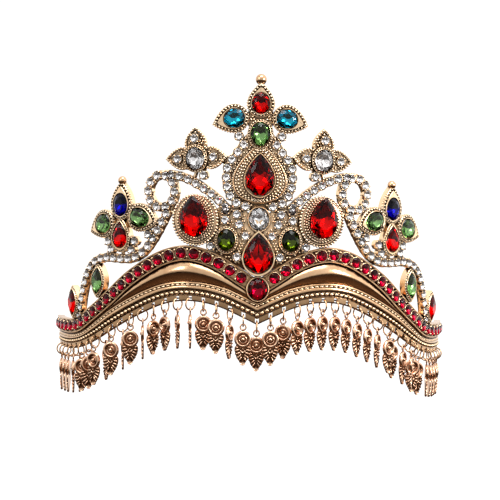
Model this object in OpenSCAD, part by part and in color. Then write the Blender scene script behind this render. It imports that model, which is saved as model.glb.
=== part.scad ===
// Bridal crown: a half ring of cast, gold-plated metal set with cut stones. A waved band carries
// openwork of scrolls, flowers and settings above it, and a fringe of small drops below it.
// The origin is the centre of the head circle, level with the band's lower edge at its two ends.
// Z is up and the front of the crown looks towards -Y. Angles run from the front towards +X.

/* [Band] */
// Radius of the band's plain face at its lower edge
band_r = 71.5; // [68:0.5:76]
// Growth of that radius for each millimetre of height
band_lean = 0.04; // [0:0.01:0.06]
// Angle from the front to each end of the half ring
band_end = 82; // [81:0.5:84]
// Thickness of the plain wall behind the face
wall_t = 1.3; // [1.1:0.1:1.6]
// Height of the mouldings below the polished leaf
mould_h = 6.9; // [6.5:0.1:7.2]
// Height of the channel that holds the red row, with its two rims
channel_h = 5.2; // [5:0.1:5.4]

/* [Red row] */
// Diameter of a round stone of the red row
row_stone_d = 3.9; // [3.6:0.1:4]
// Distance from one stone of the red row to the next
row_pitch = 4.55; // [4.5:0.05:4.8]

/* [Openwork] */
// Thickness of the openwork's plates
plate_t = 1.6; // [1.4:0.1:1.8]
// Width of a scroll that carries small clear stones
scroll_w = 3.4; // [3.2:0.1:3.6]
// Width of the bezel's wall round a main stone
bezel_w = 0.8; // [0.7:0.05:0.9]
// Diameter of a small clear stone
clear_d = 2.9; // [2.6:0.1:3]
// Diameter of the ball on top of the crown
finial_d = 3.8; // [3.4:0.1:4.2]

/* [Fringe] */
// Angle between two drops of the fringe
drop_step = 3.66; // [3.6:0.02:3.74]
// Radius of a jump ring, to the middle of its wire
ring_r = 2.05; // [1.95:0.05:2.1]
// Diameter of a jump ring's wire
ring_wire = 0.54; // [0.5:0.02:0.56]
// Diameter of a drop's round boss
boss_d = 6; // [5.6:0.1:6]
// Length of a drop's fluted leaf, from the boss's middle to the tip
leaf_len = 9.1; // [8.6:0.1:9.5]

/* [Hidden] */

GOLD = "#d9b483";
ROSE_GOLD = "#c98f62";
CLEAR = "#dfe3ea";

// The band's wave on one half. Columns: angle, height of the red row's centre line,
// height of the rail's lower edge
WAVE = [
    [0, 26.6, 14.2],
    [5, 30.8, 17.2],
    [10, 34.8, 19.9],
    [15, 37.4, 21.4],
    [20, 38.3, 21.7],
    [25, 36.9, 20.7],
    [30, 33.9, 18.4],
    [37, 28.4, 14.3],
    [45, 20.8, 9.2],
    [52, 15.2, 5.0],
    [60, 10.2, 1.8],
    [70, 8.7, 0.2],
    [96, 8.6, 0.0]
];
ROW = 1;
RAIL = 2;
// Angle past which the wave is nearly flat
flat_from = 58;

// The face of the mouldings above the rail: a row of beads, a ridge and a fine milled band.
// Columns: share of their height, radius over the face
MOULDINGS = [
    [0.05, 0.30], [0.10, 0.70], [0.29, 0.70], [0.34, 0.30],
    [0.39, 0.95], [0.59, 0.95],
    [0.64, 0.65], [0.96, 0.65]
];
// The rail: its height, its face and its back, as radius over the band's face
rail_h = 2.1;
rail_face = 0.5;
rail_back = -0.4;
groove_r = 0.3;
channel_floor = 0.05;
channel_rim = 1.15;
rim_w = 0.55;
// Bulge of the polished leaf, as a share of its height
leaf_bulge = 0.26;
lean_top = 40;

// Main stones of the centre line. Columns: angle, height, width, length, turn, cut, girdle height
// over the openwork's middle. A turn is in degrees, anticlockwise seen from outside.
TOP_OVAL = [0, 89.5, 6.3, 7.5, 0, "oval", 1.7];
GREEN_OVAL = [0, 79.2, 6.8, 8.2, 0, "oval", 2.1];
CENTRE_PEAR = [0, 65.3, 10, 14.2, 0, "pear", 2.9];
CENTRE_OVAL = [0, 50.4, 6.7, 7.7, 0, "oval", 2.0];
BASE_PEAR = [0, 38.8, 10, 13.7, 0, "pear", 2.5];
V_STONE = [0, 26.6, 6.7, 7.5, 0, "oval", 2.1];
// Main stones of the right half, which the left half mirrors
AQUA = [6.8, 84.4, 6.6, 7.6, -107, "oval", 1.7];
OLIVE = [8.4, 43.2, 6.1, 7.5, 0, "oval", 1.9];
SIDE_PEAR = [16.7, 51.1, 10.2, 14.4, -4, "pear", 4.6];
STAR = [17.05, 70.6, 6.5, 7.6, 0, "oval", 1.8];
VIOLET = [39.4, 54.0, 6.5, 8.2, 0, "oval", 1.8];
INNER_GREEN = [33.0, 49.9, 6.7, 8.1, 102, "oval", 1.8];
OUTER_GREEN = [45.8, 47.2, 6.7, 8.1, -114, "oval", 1.8];
FLOWER_RED = [39.4, 43.6, 6.2, 8.9, 0, "pear", 1.9];
HANGING_GREEN = [48.7, 26.8, 5.6, 9.2, 4, "marquise", 1.7];
END_RED = [62.1, 17.9, 6.2, 9.4, -6, "marquise", 1.7];

// Length of a setting's point beyond its stone's bezel, by stone
aqua_point = 2.9;
flower_point = 2.2;
// Breadth of such a pointed setting, as a share of a plain one's
pointed_breadth = 1.12;
top_point = 2.3;

// Small clear stones of the centre field on one half. Columns: angle, height
FIELD = [
    [5.6, 78.4], [4.3, 75.5], [5.8, 72.9], [7.3, 70.4], [8.45, 67.5], [8.7, 64.3],
    [8.4, 61.2], [7.6, 58.2], [6.0, 55.7], [3.6, 54.6],
    [5.8, 51.9], [8.8, 53.2], [8.9, 49.9], [5.1, 48.5], [3.45, 44.6], [5.6, 37.4], [12.6, 40.9]
];
// Small clear stones of the star and the flower on one half
SPRIGS = [
    [17.5, 77.4], [12.3, 71.2], [22.1, 70.3], [14.8, 65.0],
    [34.8, 41.7], [35.8, 38.7], [44.3, 41.1], [43.2, 38.6], [30.4, 44.2]
];

// Middle lines of the scroll's strips on one half. Columns: angle, height
TOP_STRIP = [[8.9, 54.3], [11.0, 57.0], [13.5, 59.5], [16.4, 61.8], [19.5, 63.7], [23.0, 64.8], [26.4, 64.9]];
STEM = [
    [24.0, 54.6], [25.3, 51.2], [27.9, 45.1], [30.6, 40.1], [33.2, 37.1], [36.4, 35.5], [40.5, 35.3],
    [45.5, 35.4], [49.4, 34.0], [52.3, 31.4], [54.4, 27.8], [56.0, 23.9], [57.3, 19.6], [58.6, 13.6]
];
LOOP_AT = [26.7, 59.2];
LOOP_HALF = [4.95, 5.6];
loop_steps = 16;

// Struts that tie neighbouring parts of the openwork. Columns: angle and height of each end
STRUTS = [
    [25.2, 52.6, 22.2, 51.6], [29.2, 54.7, 30.4, 52.6], [39.4, 38.4, 39.4, 36], [16.8, 66.4, 17.6, 63.6],
    [39.4, 60.4, 39.4, 62.2]
];
strut_d = 1.5;

stone_gap = 0.1;
// Height of a bezel over its stone's girdle
bezel_over = 0.25;
stone_sides = 12;
outline_points = 16;

// Heights over the openwork's middle: tops of its field, of a petal, of the medallion's plate, of
// the granulated collars round the big pears, and of the seats under the small clear stones
field_top = 0.5;
petal_top = 0.45;
medallion_top = 0.8;
collar_top = 1.6;
clear_back = 0.9;

// Cut of the stones: the table as a share of the stone, crown and pavilion heights
table_share = 0.56;
crown_h = 1.1;
big_crown_h = 1.6;
big_stone_w = 9;
deepest_pavilion = 2.7;
clear_crown_h = 0.6;
clear_pavilion_h = 0.45;
row_crown_h = 0.8;
row_pavilion_h = 1.05;
// Height of the red row's girdles over the channel's floor
row_girdle = 1.2;

// Square holes of the rail: size, and height of the middle over the rail's lower edge
hole_flats = 1.6;
hole_height = 1.15;
// A drop's cast bail: radius to the middle of its wire, wire, and play over the jump ring
bail_r = 0.98;
bail_wire = 0.56;
bail_play = 0.2;
// Heights from the foot of a ring's wire to the bail's middle, and from there to the boss's middle
bail_z = (ring_wire + bail_wire) / 2 + bail_play - bail_r;
boss_z = -bail_r - bail_wire / 2 - boss_d / 2 + 0.1;
boss_back = 0.6;
leaf_t = 1;
// How the drops hang, from the front outwards. Columns: turn of the drop about its own height, lean
// of its ring out from the rail
HANG_LEFT = [
    [4, 15], [73, 0], [11, 10], [18, -5], [-70, 0], [-58, 0], [-28, 5], [73, 0], [-57, -5], [36, 10],
    [-50, -10], [26, 10], [-20, -15], [13, 15], [60, 0], [38, 5], [-28, -15], [-18, -5], [-28, 0], [-24, 0],
    [-20, 5]
];
HANG_RIGHT = [
    [-4, 15], [-24, -15], [31, 10], [29, 5], [32, 0], [24, 0], [26, 0], [26, 0], [25, 0], [30, 0],
    [4, 15], [-1, -15], [14, 5], [25, 15], [-30, -15], [-20, -15], [24, 10], [32, 5], [24, 5], [32, 0],
    [18, 5]
];
HANG_MIDDLE = [0, -15];
drops_a_side = len(HANG_LEFT);
HANG = concat(reverse(HANG_LEFT), [HANG_MIDDLE], HANG_RIGHT);
// A jump ring turns by this share of its drop's turn
ring_share = 0.44;

// Heights and slopes of the wave

function wave_part(a, i = 0) = i >= len(WAVE) - 2 || WAVE[i + 1][0] >= a ? i : wave_part(a, i + 1);

function rise(i, k) = (WAVE[i + 1][k] - WAVE[i][k]) / (WAVE[i + 1][0] - WAVE[i][0]);

function table_slope(i, k) =
    i == 0 ? rise(0, k) :
    i == len(WAVE) - 1 ? 0 :
    (WAVE[i + 1][k] - WAVE[i - 1][k]) / (WAVE[i + 1][0] - WAVE[i - 1][0]);

function wave(a, k) =
    let (i = wave_part(a), h = WAVE[i + 1][0] - WAVE[i][0], t = (a - WAVE[i][0]) / h)
    (2 * t^3 - 3 * t^2 + 1) * WAVE[i][k] + (t^3 - 2 * t^2 + t) * h * table_slope(i, k)
    + (3 * t^2 - 2 * t^3) * WAVE[i + 1][k] + (t^3 - t^2) * h * table_slope(i + 1, k);

// Slope of the wave in millimetres of height for each millimetre along the band
function wave_slope(a, k) = (wave(a + 0.2, k) - wave(max(0, a - 0.2), k)) / (a < 0.2 ? a + 0.2 : 0.4)
    * 180 / PI / band_r;

// How much longer a height is than the same size measured square to the sloping band
function stretch(a, k) = sqrt(1 + wave_slope(a, k)^2);

function face_r(z) = band_r + band_lean * min(z, lean_top);

// A point of the crown from its angle, its height and its distance over the face
function at(a, z, over) = [(face_r(z) + over) * sin(a), -(face_r(z) + over) * cos(a), z];

function reverse(list) = [for (i = [len(list) - 1 : -1 : 0]) list[i]];

// Solids skinned over rings of points

function quad(a, b, c, d) = [[a, b, c], [a, c, d]];

module skin(rings, closed = false) {
    n = len(rings[0]);
    m = len(rings);
    spans = closed ? m : m - 1;
    sides = [for (i = [0 : spans - 1], j = [0 : n - 1], f = quad(
        i * n + j, i * n + (j + 1) % n, ((i + 1) % m) * n + (j + 1) % n, ((i + 1) % m) * n + j)) f];
    caps = closed ? [] : [[for (j = [n - 1 : -1 : 0]) j], [for (j = [0 : n - 1]) (m - 1) * n + j]];
    polyhedron(points = [for (r = rings, p = r) p], faces = concat(sides, caps), convexity = 8);
}

// Band

// One section of the band, from the rail's front round the face and down the back
function band_section(a) = let (
        s = abs(a),
        rail = wave(s, RAIL),
        row = wave(s, ROW),
        row_k = stretch(s, ROW),
        low = row - channel_h / 2 * row_k,
        high = row + channel_h / 2 * row_k,
        rim = rim_w * row_k,
        rail_top = rail + rail_h * stretch(s, RAIL),
        leaf_low = min(rail + mould_h * stretch(s, RAIL), rail + 0.93 * (low - rail)),
        leaf = low - leaf_low)
    concat(
        [at(a, rail, rail_face), at(a, rail_top, rail_face)],
        [for (p = MOULDINGS) at(a, rail_top + p[0] * (leaf_low - rail_top), p[1])],
        [at(a, leaf_low, groove_r)],
        [for (t = [0.25, 0.7]) at(a, leaf_low + t * leaf, groove_r + leaf_bulge * leaf * sin(180 * t))],
        [at(a, low - 0.1, groove_r), at(a, low, channel_rim), at(a, low + rim, channel_rim),
         at(a, low + rim, channel_floor), at(a, high - rim, channel_floor), at(a, high - rim, channel_rim),
         at(a, high, channel_rim), at(a, high, -wall_t), at(a, rail_top, -wall_t),
         at(a, rail_top, rail_back), at(a, rail, rail_back)]);

// Sections halfway between the fringe's holes, fewer of them where the wave is flat, and one at
// the front's point
module band() {
    half = [for (i = [0 : drops_a_side - 1])
        let (a = (i + 0.5) * drop_step)
        if (a < flat_from || i % 2 == 0) a];
    skin([for (a = concat([-band_end], -1 * reverse(half), [0], half, [band_end])) band_section(a)]);
}

// Children at the middle of each hole, with X along the level
module each_hole() {
    for (i = [-drops_a_side : drops_a_side]) let (a = i * drop_step)
        on_crown(a, wave(abs(a), RAIL) + hole_height * stretch(abs(a), RAIL), mid(rail_face, rail_back)) {
            $slope = sign(a) * wave_slope(abs(a), RAIL);
            $turn = HANG[i + drops_a_side][0];
            $lean = HANG[i + drops_a_side][1];
            children();
        }
}

// Holes through the rail that the jump rings pass through, square to the rail's run
module rail_holes() {
    each_hole() rotate([0, 0, atan($slope)]) cube([hole_flats, hole_flats, 4], center = true);
}

// Places on the crown

// Children's X runs along the band, Y is up and Z points outwards
module on_crown(a, z, over = 0, turn = 0) {
    rotate([0, 0, a]) translate([0, -face_r(z) - over, z]) rotate([90, 0, 0]) rotate([0, 0, turn]) children();
}

module side(s) {
    mirror([s < 0 ? 1 : 0, 0, 0]) children();
}

module both_sides() {
    for (s = [-1, 1]) side(s) children();
}

// Outlines

function oval(w, h, n) = [for (i = [0 : n - 1]) [w / 2 * sin(360 * i / n), h / 2 * cos(360 * i / n)]];

// Half breadths of two drop outlines as shares of the widest, from the point at 0 to the foot at 180.
// The slim one is the plates', the full one the stones' and their settings'.
function slim_drop(u) = sin(u) * sin(u / 2) / 0.7698;
function full_drop(u) = sin(u)^1.15 * sin(u / 2)^0.7 / 0.8176;

// A drop outline with its point up
function pear(w, h, n) = [for (i = [0 : n - 1]) let (t = 360 * i / n, u = t > 180 ? 360 - t : t)
    [(t > 180 ? -1 : 1) * w / 2 * full_drop(u), h / 2 * cos(u)]];

function marquise(w, h, n) = [for (i = [0 : n - 1]) let (t = 360 * i / n, y = cos(t))
    [w / 2 * (sin(t) < 0 ? -1 : 1) * (1 - y^2)^0.8, h / 2 * y]];

function outline(cut, w, h, n) =
    cut == "pear" ? pear(w, h, n) :
    cut == "marquise" ? marquise(w, h, n) :
    oval(w, h, n);

// Metal round a main stone, its outer form drawn out to a point where asked

module setting(stone, point = 0, back = plate_t / 2) {
    on_crown(stone[0], stone[1], 0, stone[4]) translate([0, 0, -back])
        linear_extrude(back + stone[6] + bezel_over) setting_outline(stone, point);
}

// Space for a main stone in its setting
module pocket(stone) {
    on_crown(stone[0], stone[1], 0, stone[4]) linear_extrude(stone[6] + 1)
        polygon(outline(stone[5], stone[2] + 2 * stone_gap, stone[3] + 2.4 * stone_gap, stone_sides));
}

module setting_outline(stone, point) {
    rim = bezel_w + stone_gap;
    w = stone[2] + 2 * rim;
    h = stone[3] + 2 * rim;
    if (point > 0)
        translate([0, point / 2]) polygon(pear(w * pointed_breadth, h + point, outline_points));
    else
        polygon(outline(stone[5], w, stone[5] == "oval" ? h : h + rim, outline_points));
}

// A teardrop plate of the centre line, bent with the crown. Each level is a ring of points along
// the arc, out on the front and home on the back.
module drop_plate(z, w, h, top, spans) {
    skin([for (u = [175, 150, 125, 95, 65, 35, 5]) let (
            level = z + h / 2 * cos(u),
            half = w / 2 * slim_drop(u) / face_r(level) * 180 / PI,
            arc = [for (i = [0 : spans]) half * (2 * i / spans - 1)])
        concat([for (a = reverse(arc)) at(a, level, top)], [for (a = arc) at(a, level, -plate_t / 2)])]);
}

// Strips of the scroll

function mid(a, b) = (a + b) / 2;

// A smoother line through the same points, with one more point in each span
function smooth_line(p) = [for (i = [0 : len(p) - 1], j = [0, 1]) if (j == 0 || i < len(p) - 1)
    j == 0 ? p[i] : let (before = p[max(i - 1, 0)], after = p[min(i + 2, len(p) - 1)])
        9 / 16 * (p[i] + p[i + 1]) - 1 / 16 * (before + after)];

// A section square to a line on the crown's face. Columns of form: across, outwards
function strip_section(line, i, form, closed) = let (
        n = len(line),
        p = line[i],
        before = line[closed ? (i + n - 1) % n : max(i - 1, 0)],
        after = line[closed ? (i + 1) % n : min(i + 1, n - 1)],
        out = [sin(p[0]), -cos(p[0]), 0],
        run = at(after[0], after[1], 0) - at(before[0], before[1], 0),
        flat = run - (run * out) * out,
        cross_way = cross(flat, out) / norm(flat))
    [for (f = form) at(p[0], p[1], 0) + f[0] * cross_way + f[1] * out];

scroll_form = [[scroll_w / 2, -plate_t / 2], [scroll_w / 2, clear_back], [-scroll_w / 2, clear_back],
    [-scroll_w / 2, -plate_t / 2]];

module strip(line, closed = false) {
    skin([for (i = [0 : len(line) - 1]) strip_section(line, i, scroll_form, closed)], closed);
}

loop_line = [for (i = [0 : loop_steps - 1]) let (t = -360 * i / loop_steps)
    [LOOP_AT[0] + LOOP_HALF[0] * cos(t) * 180 / PI / face_r(LOOP_AT[1]), LOOP_AT[1] + LOOP_HALF[1] * sin(t)]];

module strut(s) {
    hull() {
        on_crown(s[0], s[1]) cylinder(h = plate_t, d = strut_d, center = true, $fn = 4);
        on_crown(s[2], s[3]) cylinder(h = plate_t, d = strut_d, center = true, $fn = 4);
    }
}

// Seats under the small clear stones
module seat(p) {
    on_crown(p[0], p[1]) translate([0, 0, -plate_t / 2])
        cylinder(h = plate_t / 2 + clear_back - stone_gap, d = clear_d + 0.7, $fn = 6);
}

// Centre motif

module medallion() {
    drop_plate(68.4, 26, 31.4, medallion_top, 4);
    drop_plate(66.1, 18.8, 20.6, collar_top, 2);
    setting(CENTRE_PEAR);
    setting(GREEN_OVAL);
    setting(TOP_OVAL, top_point);
    on_crown(0, 97.6) sphere(d = finial_d, $fn = 12);
    setting(CENTRE_OVAL);
    setting(BASE_PEAR);
    setting(V_STONE, 0, 1.2);
    hub(0, 84.4, 9.6);
}

// A small plate behind settings that meet
module hub(a, z, d) {
    on_crown(a, z) translate([0, 0, -plate_t / 2]) cylinder(h = plate_t / 2, d = d, $fn = 8);
}

// Plates that carry the clear stones beside and below the medallion
module centre_field() {
    on_crown(7.6, 45.6) translate([0, 0, -plate_t / 2]) linear_extrude(plate_t / 2 + field_top)
        polygon([
            [-9.7, -8], [-6, -13.2], [2.5, -8], [7, -6], [8.6, 0], [7, 6.4], [2.6, 9.6], [-3, 9.4], [-9.7, 4]
        ]);
    setting(OLIVE);
    setting(AQUA, aqua_point);
    seat(FIELD[0]);
    on_crown(16.8, 49.7) translate([0, 0, -plate_t / 2]) linear_extrude(plate_t / 2 + collar_top)
        polygon(oval(15.8, 17.2, outline_points));
    raised_cup(SIDE_PEAR);
    strip(smooth_line(TOP_STRIP));
}

// The side pears stand on a cup narrower than the stone, whose rim is this far below the girdle
cup_below = 0.65;
module raised_cup(stone) {
    top = stone[6] - cup_below;
    on_crown(stone[0], stone[1], 0, stone[4]) difference() {
        linear_extrude(top) polygon(pear(stone[2] - 0.4, stone[3] - 0.5, outline_points));
        translate([0, 0, collar_top]) linear_extrude(top)
            polygon(pear(stone[2] - 1.4, stone[3] - 2, outline_points));
    }
}

// Star of three pointed petals

petal_w = 7;
petal_len = 8.8;
petal_from = 2.1;

module petal(turn) {
    on_crown(STAR[0], STAR[1], 0, turn) translate([0, petal_from + petal_len / 2, -plate_t / 2])
        linear_extrude(plate_t / 2 + petal_top) polygon(pear(petal_w, petal_len, 10));
}

module star() {
    setting(STAR);
    for (turn = [-3, 86, -92]) petal(turn);
    for (i = [0 : 3]) seat(SPRIGS[i]);
    hub(9.2, 70.3, 3);
}

// Flower of four settings on the scroll

module flower() {
    setting(VIOLET, flower_point + 0.9);
    setting(INNER_GREEN, flower_point);
    setting(OUTER_GREEN, flower_point + 0.4);
    setting(FLOWER_RED);
    on_crown(39.4, 62.5, 0.9) sphere(d = 3, $fn = 10);
    for (i = [4 : 8]) seat(SPRIGS[i]);
    hub(39.4, 48.7, 8);
}

module scrollwork() {
    strip(loop_line, true);
    strip(smooth_line(STEM));
    setting(HANGING_GREEN);
    setting(END_RED);
    for (s = STRUTS) strut(s);
}

module frame() {
    color(GOLD) difference() {
        union() {
            band();
            medallion();
            both_sides() {
                centre_field();
                star();
                flower();
                scrollwork();
            }
        }
        rail_holes();
        for (s = [TOP_OVAL, GREEN_OVAL, CENTRE_PEAR, CENTRE_OVAL, BASE_PEAR, V_STONE]) pocket(s);
        both_sides() {
            for (s = [AQUA, OLIVE, STAR, HANGING_GREEN, END_RED]) pocket(s);
            for (s = [VIOLET, INNER_GREEN, OUTER_GREEN, FLOWER_RED]) pocket(s);
        }
    }
}

// Stones

// A cut stone: point or flat below, girdle, crown and table. Z 0 is the girdle.
module gem(form, crown, pavilion) {
    n = len(form);
    ring = function (k, z) [for (p = form) [p[0] * k, p[1] * k, z]];
    below = [for (j = [0 : n - 1]) [2 * n, (j + 1) % n, j]];
    above = [for (j = [0 : n - 1], f = quad(j, (j + 1) % n, n + (j + 1) % n, n + j)) f];
    polyhedron(points = concat(ring(1, 0), ring(table_share, crown), [[0, 0, -pavilion]]),
        faces = concat(below, above, [[for (j = [0 : n - 1]) n + j]]));
}

module main_stone(s, hand = 1) {
    side(hand) on_crown(s[0], s[1], s[6], s[4]) gem(outline(s[5], s[2], s[3], stone_sides),
        s[2] < big_stone_w ? crown_h : big_crown_h, min(s[6] - stone_gap, deepest_pavilion));
}

module round_gem(d, crown, pavilion) {
    rotate([0, 0, 22.5]) gem(oval(d, d, 8), crown, pavilion);
}

module small_stone(p) {
    on_crown(p[0], p[1], clear_back + clear_pavilion_h) round_gem(clear_d, clear_crown_h, clear_pavilion_h);
}

// Angles of the red row's stones, at equal steps along the sloping channel
row_start = 4.4;
function row_step(a) = row_pitch / stretch(a + 1.8, ROW) / face_r(wave(a, ROW)) * 180 / PI;

function row_angles(a, last) = a > last ? [] : concat([a], row_angles(a + row_step(a), last));

module red_row() {
    color("#a3123c") both_sides() for (a = row_angles(row_start, band_end - 2))
        on_crown(a, wave(a, ROW), channel_floor + row_girdle)
            round_gem(row_stone_d, row_crown_h, row_pavilion_h);
}

module clear_field() {
    color(CLEAR) both_sides() for (p = FIELD) small_stone(p);
}

module clear_sprigs() {
    color(CLEAR) both_sides() for (p = SPRIGS) small_stone(p);
}

module red_stone(s, hand = 1) {
    color("#b80f1c") main_stone(s, hand);
}

module green_stone(s, hand = 1) {
    color("#5f9c62") main_stone(s, hand);
}

module aqua_stone(hand) {
    color("#1f93b4") main_stone(AQUA, hand);
}

module olive_stone(hand) {
    color("#5c7a1c") main_stone(OLIVE, hand);
}

module violet_stone(hand) {
    color("#1c1c8c") main_stone(VIOLET, hand);
}

module clear_stone(s, hand = 1) {
    color(CLEAR) main_stone(s, hand);
}

// Fringe

module torus(r, wire) {
    rotate_extrude($fn = 24) translate([r, 0]) circle(d = wire, $fn = 16);
}

module jump_rings() {
    color(GOLD) each_hole() rotate([-$lean, 0, 0]) translate([0, -ring_r, 0])
        rotate([0, 90 + ring_share * $turn, 0]) torus(ring_r, ring_wire);
}

// Outline of the fluted leaf's right half. Columns: share of its length, half width
LEAF = [[0.16, 2.5], [0.33, 2.8], [0.56, 2.5], [0.76, 1.75], [0.92, 1.0], [1, 0.4]];

// A cast drop: bail, round boss with a dished face and a ball in the middle, and fluted leaf
module drop() {
    torus(bail_r, bail_wire);
    translate([0, boss_z, 0]) {
        rotate_extrude($fn = 32) polygon([
            [0, -boss_back], [boss_d / 2, -boss_back], [boss_d / 2, 0.7], [boss_d / 2 - 0.6, 0.7],
            [boss_d / 2 - 0.9, 0.2], [1.6, 0.2], [1.3, 0.6], [0.8, 0.6], [0.6, 1.1], [0, 1.1]
        ]);
        translate([0, 0, -leaf_t / 2]) linear_extrude(leaf_t)
            polygon([for (s = [-1, 1], p = s < 0 ? reverse(LEAF) : LEAF) [s * p[1], -p[0] * leaf_len]]);
    }
}

module drops() {
    color(ROSE_GOLD) each_hole() translate([0, bail_z - 2 * ring_r * cos($lean), 2 * ring_r * sin($lean)])
        rotate([0, $turn, 0]) drop();
}

frame();
jump_rings();
drops();
red_row();
clear_field();
clear_sprigs();
red_stone(TOP_OVAL);  // top_oval
aqua_stone(-1);  // aqua_left
aqua_stone(1);  // aqua_right
green_stone(GREEN_OVAL);  // green_oval
red_stone(CENTRE_PEAR);  // centre_pear
clear_stone(CENTRE_OVAL);  // centre_oval
olive_stone(-1);  // olive_left
olive_stone(1);  // olive_right
red_stone(BASE_PEAR);  // base_pear
red_stone(SIDE_PEAR, -1);  // side_pear_left
red_stone(SIDE_PEAR, 1);  // side_pear_right
clear_stone(STAR, -1);  // star_left
clear_stone(STAR, 1);  // star_right
violet_stone(-1);  // violet_left
violet_stone(1);  // violet_right
green_stone(INNER_GREEN, -1);  // inner_green_left
green_stone(INNER_GREEN, 1);  // inner_green_right
green_stone(OUTER_GREEN, -1);  // outer_green_left
green_stone(OUTER_GREEN, 1);  // outer_green_right
red_stone(FLOWER_RED, -1);  // flower_red_left
red_stone(FLOWER_RED, 1);  // flower_red_right
green_stone(HANGING_GREEN, -1);  // hanging_green_left
green_stone(HANGING_GREEN, 1);  // hanging_green_right
red_stone(END_RED, -1);  // end_red_left
red_stone(END_RED, 1);  // end_red_right
red_stone(V_STONE);  // v_stone
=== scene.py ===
# %% [markdown]
# A bridal crown: a half ring of cast, gold-plated metal, set with cut glass stones, with a fringe of small
# leaf drops below it. The solids of the CAD model say where everything is. This lesson dresses them: it
# builds the band's mouldings, the beads and grains, the settings, the facets of the stones and the fluted
# drops, and gives each finish a material. Everything is drawn in millimetres and turned to metres at the end
# of each piece, because jewellers' sizes are easier to read that way.

import math
from collections import namedtuple

import bmesh
import bpy
from mathutils import Matrix, Vector


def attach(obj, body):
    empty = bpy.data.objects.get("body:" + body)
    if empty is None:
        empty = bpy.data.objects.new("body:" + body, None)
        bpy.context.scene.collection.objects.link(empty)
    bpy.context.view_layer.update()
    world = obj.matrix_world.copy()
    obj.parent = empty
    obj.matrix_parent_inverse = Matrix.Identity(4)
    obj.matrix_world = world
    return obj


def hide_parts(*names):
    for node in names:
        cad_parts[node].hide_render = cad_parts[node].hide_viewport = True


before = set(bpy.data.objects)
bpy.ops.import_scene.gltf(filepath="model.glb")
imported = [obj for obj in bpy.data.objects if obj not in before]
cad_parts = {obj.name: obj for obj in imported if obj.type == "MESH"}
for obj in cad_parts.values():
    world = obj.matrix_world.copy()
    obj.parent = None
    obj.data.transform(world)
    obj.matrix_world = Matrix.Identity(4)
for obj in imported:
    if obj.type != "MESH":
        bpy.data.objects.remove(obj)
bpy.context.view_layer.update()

# %% [markdown]
# The camera comes first, because every later choice is judged through it. It stands 650 mm from the crown, a
# little to the left and a little above it, with a long lens, as a product photographer's does. It could be
# aimed with a Track To constraint, but a matrix of three directions also gives the photo's slight roll.

# %% Camera
CAMERA_DISTANCE = 0.65
CAMERA_SIDE = math.radians(-2.18)
CAMERA_HEIGHT = math.radians(3.0)
CAMERA_ROLL = math.radians(1.01)
LENS = 122.22

aim = Vector((-0.00002, 0, 0.036))
ahead = Vector((-math.sin(CAMERA_SIDE) * math.cos(CAMERA_HEIGHT),
                math.cos(CAMERA_SIDE) * math.cos(CAMERA_HEIGHT), -math.sin(CAMERA_HEIGHT)))
level = ahead.cross(Vector((0, 0, 1))).normalized()
upright = level.cross(ahead)
right = level * math.cos(CAMERA_ROLL) + upright * math.sin(CAMERA_ROLL)
up = upright * math.cos(CAMERA_ROLL) - level * math.sin(CAMERA_ROLL)

camera = bpy.data.objects.new("camera", bpy.data.cameras.new("camera"))
bpy.context.scene.collection.objects.link(camera)
pose = Matrix((right, up, -ahead)).transposed().to_4x4()
pose.translation = aim - ahead * CAMERA_DISTANCE
camera.matrix_world = pose
camera.data.lens = LENS
bpy.context.scene.camera = camera
print("camera at", [round(c, 3) for c in pose.translation])

# %% [markdown]
# Polished metal and glass show nothing but their surroundings, so the studio matters more than any colour.
# The sky is white from the horizon up and dark well below it, as in a tent that is open at the bottom. That
# gives each bead a bright top and a dark foot. The tent's front and back are a little dimmer than its sides,
# and its right side is brighter than its left. Three soft boxes add the small sharp lights.

# %% Colours from hex
def linear(code):
    """An sRGB hex colour such as #d9b483 as linear RGBA."""
    parts = [int(code[i:i + 2], 16) / 255 for i in (1, 3, 5)]
    return tuple(c / 12.92 if c <= 0.04045 else ((c + 0.055) / 1.055) ** 2.4 for c in parts) + (1.0,)


def node(tree, kind, inputs=None, stops=(), **settings):
    """A new node with its settings. An input is given a value, or the socket that it is linked to. A colour
    ramp is also given its stops, each a place and a hex colour."""
    made = tree.nodes.new(kind)
    for name, value in settings.items():
        setattr(made, name, value)
    for name, value in (inputs or {}).items():
        if isinstance(value, bpy.types.NodeSocket):
            tree.links.new(value, made.inputs[name])
        else:
            made.inputs[name].default_value = value
    if stops:
        points = made.color_ramp.elements
        while len(points) < len(stops):
            points.new(0.5)
        for point, (place, code) in zip(points, stops):
            point.position = place
            point.color = linear(code)
    return made


# %% Sky and soft boxes
world = bpy.data.worlds.new("studio tent")
bpy.context.scene.world = world
world.use_nodes = True
sky = world.node_tree
sky.nodes.clear()
look = node(sky, "ShaderNodeSeparateXYZ", {0: node(sky, "ShaderNodeTexCoord").outputs["Generated"]})
height = node(sky, "ShaderNodeMapRange", {"Value": look.outputs["Z"], "From Min": -1.0, "From Max": 1.0})
tent = node(sky, "ShaderNodeValToRGB", {"Fac": height.outputs["Result"]}, [
    (0.0, "#5c4636"), (0.25, "#3c2a1e"), (0.365, "#1a100a"), (0.385, "#403a30"), (0.405, "#97927f"),
    (0.43, "#efebe4"), (0.46, "#ffffff"), (1.0, "#ffffff")])
behind = node(sky, "ShaderNodeMapRange", {"Value": look.outputs["Y"], "From Min": -1.0, "From Max": 1.0})
depth = node(sky, "ShaderNodeValToRGB", {"Fac": behind.outputs["Result"]}, [
    (0.0, "#c6c6c6"), (0.6, "#ffffff"), (0.75, "#ffffff"), (1.0, "#e2e2e2")])
flank = node(sky, "ShaderNodeMapRange", {"Value": look.outputs["X"], "From Min": -1.0, "From Max": 1.0,
                                         "To Min": 1.14, "To Max": 1.7})
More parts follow.
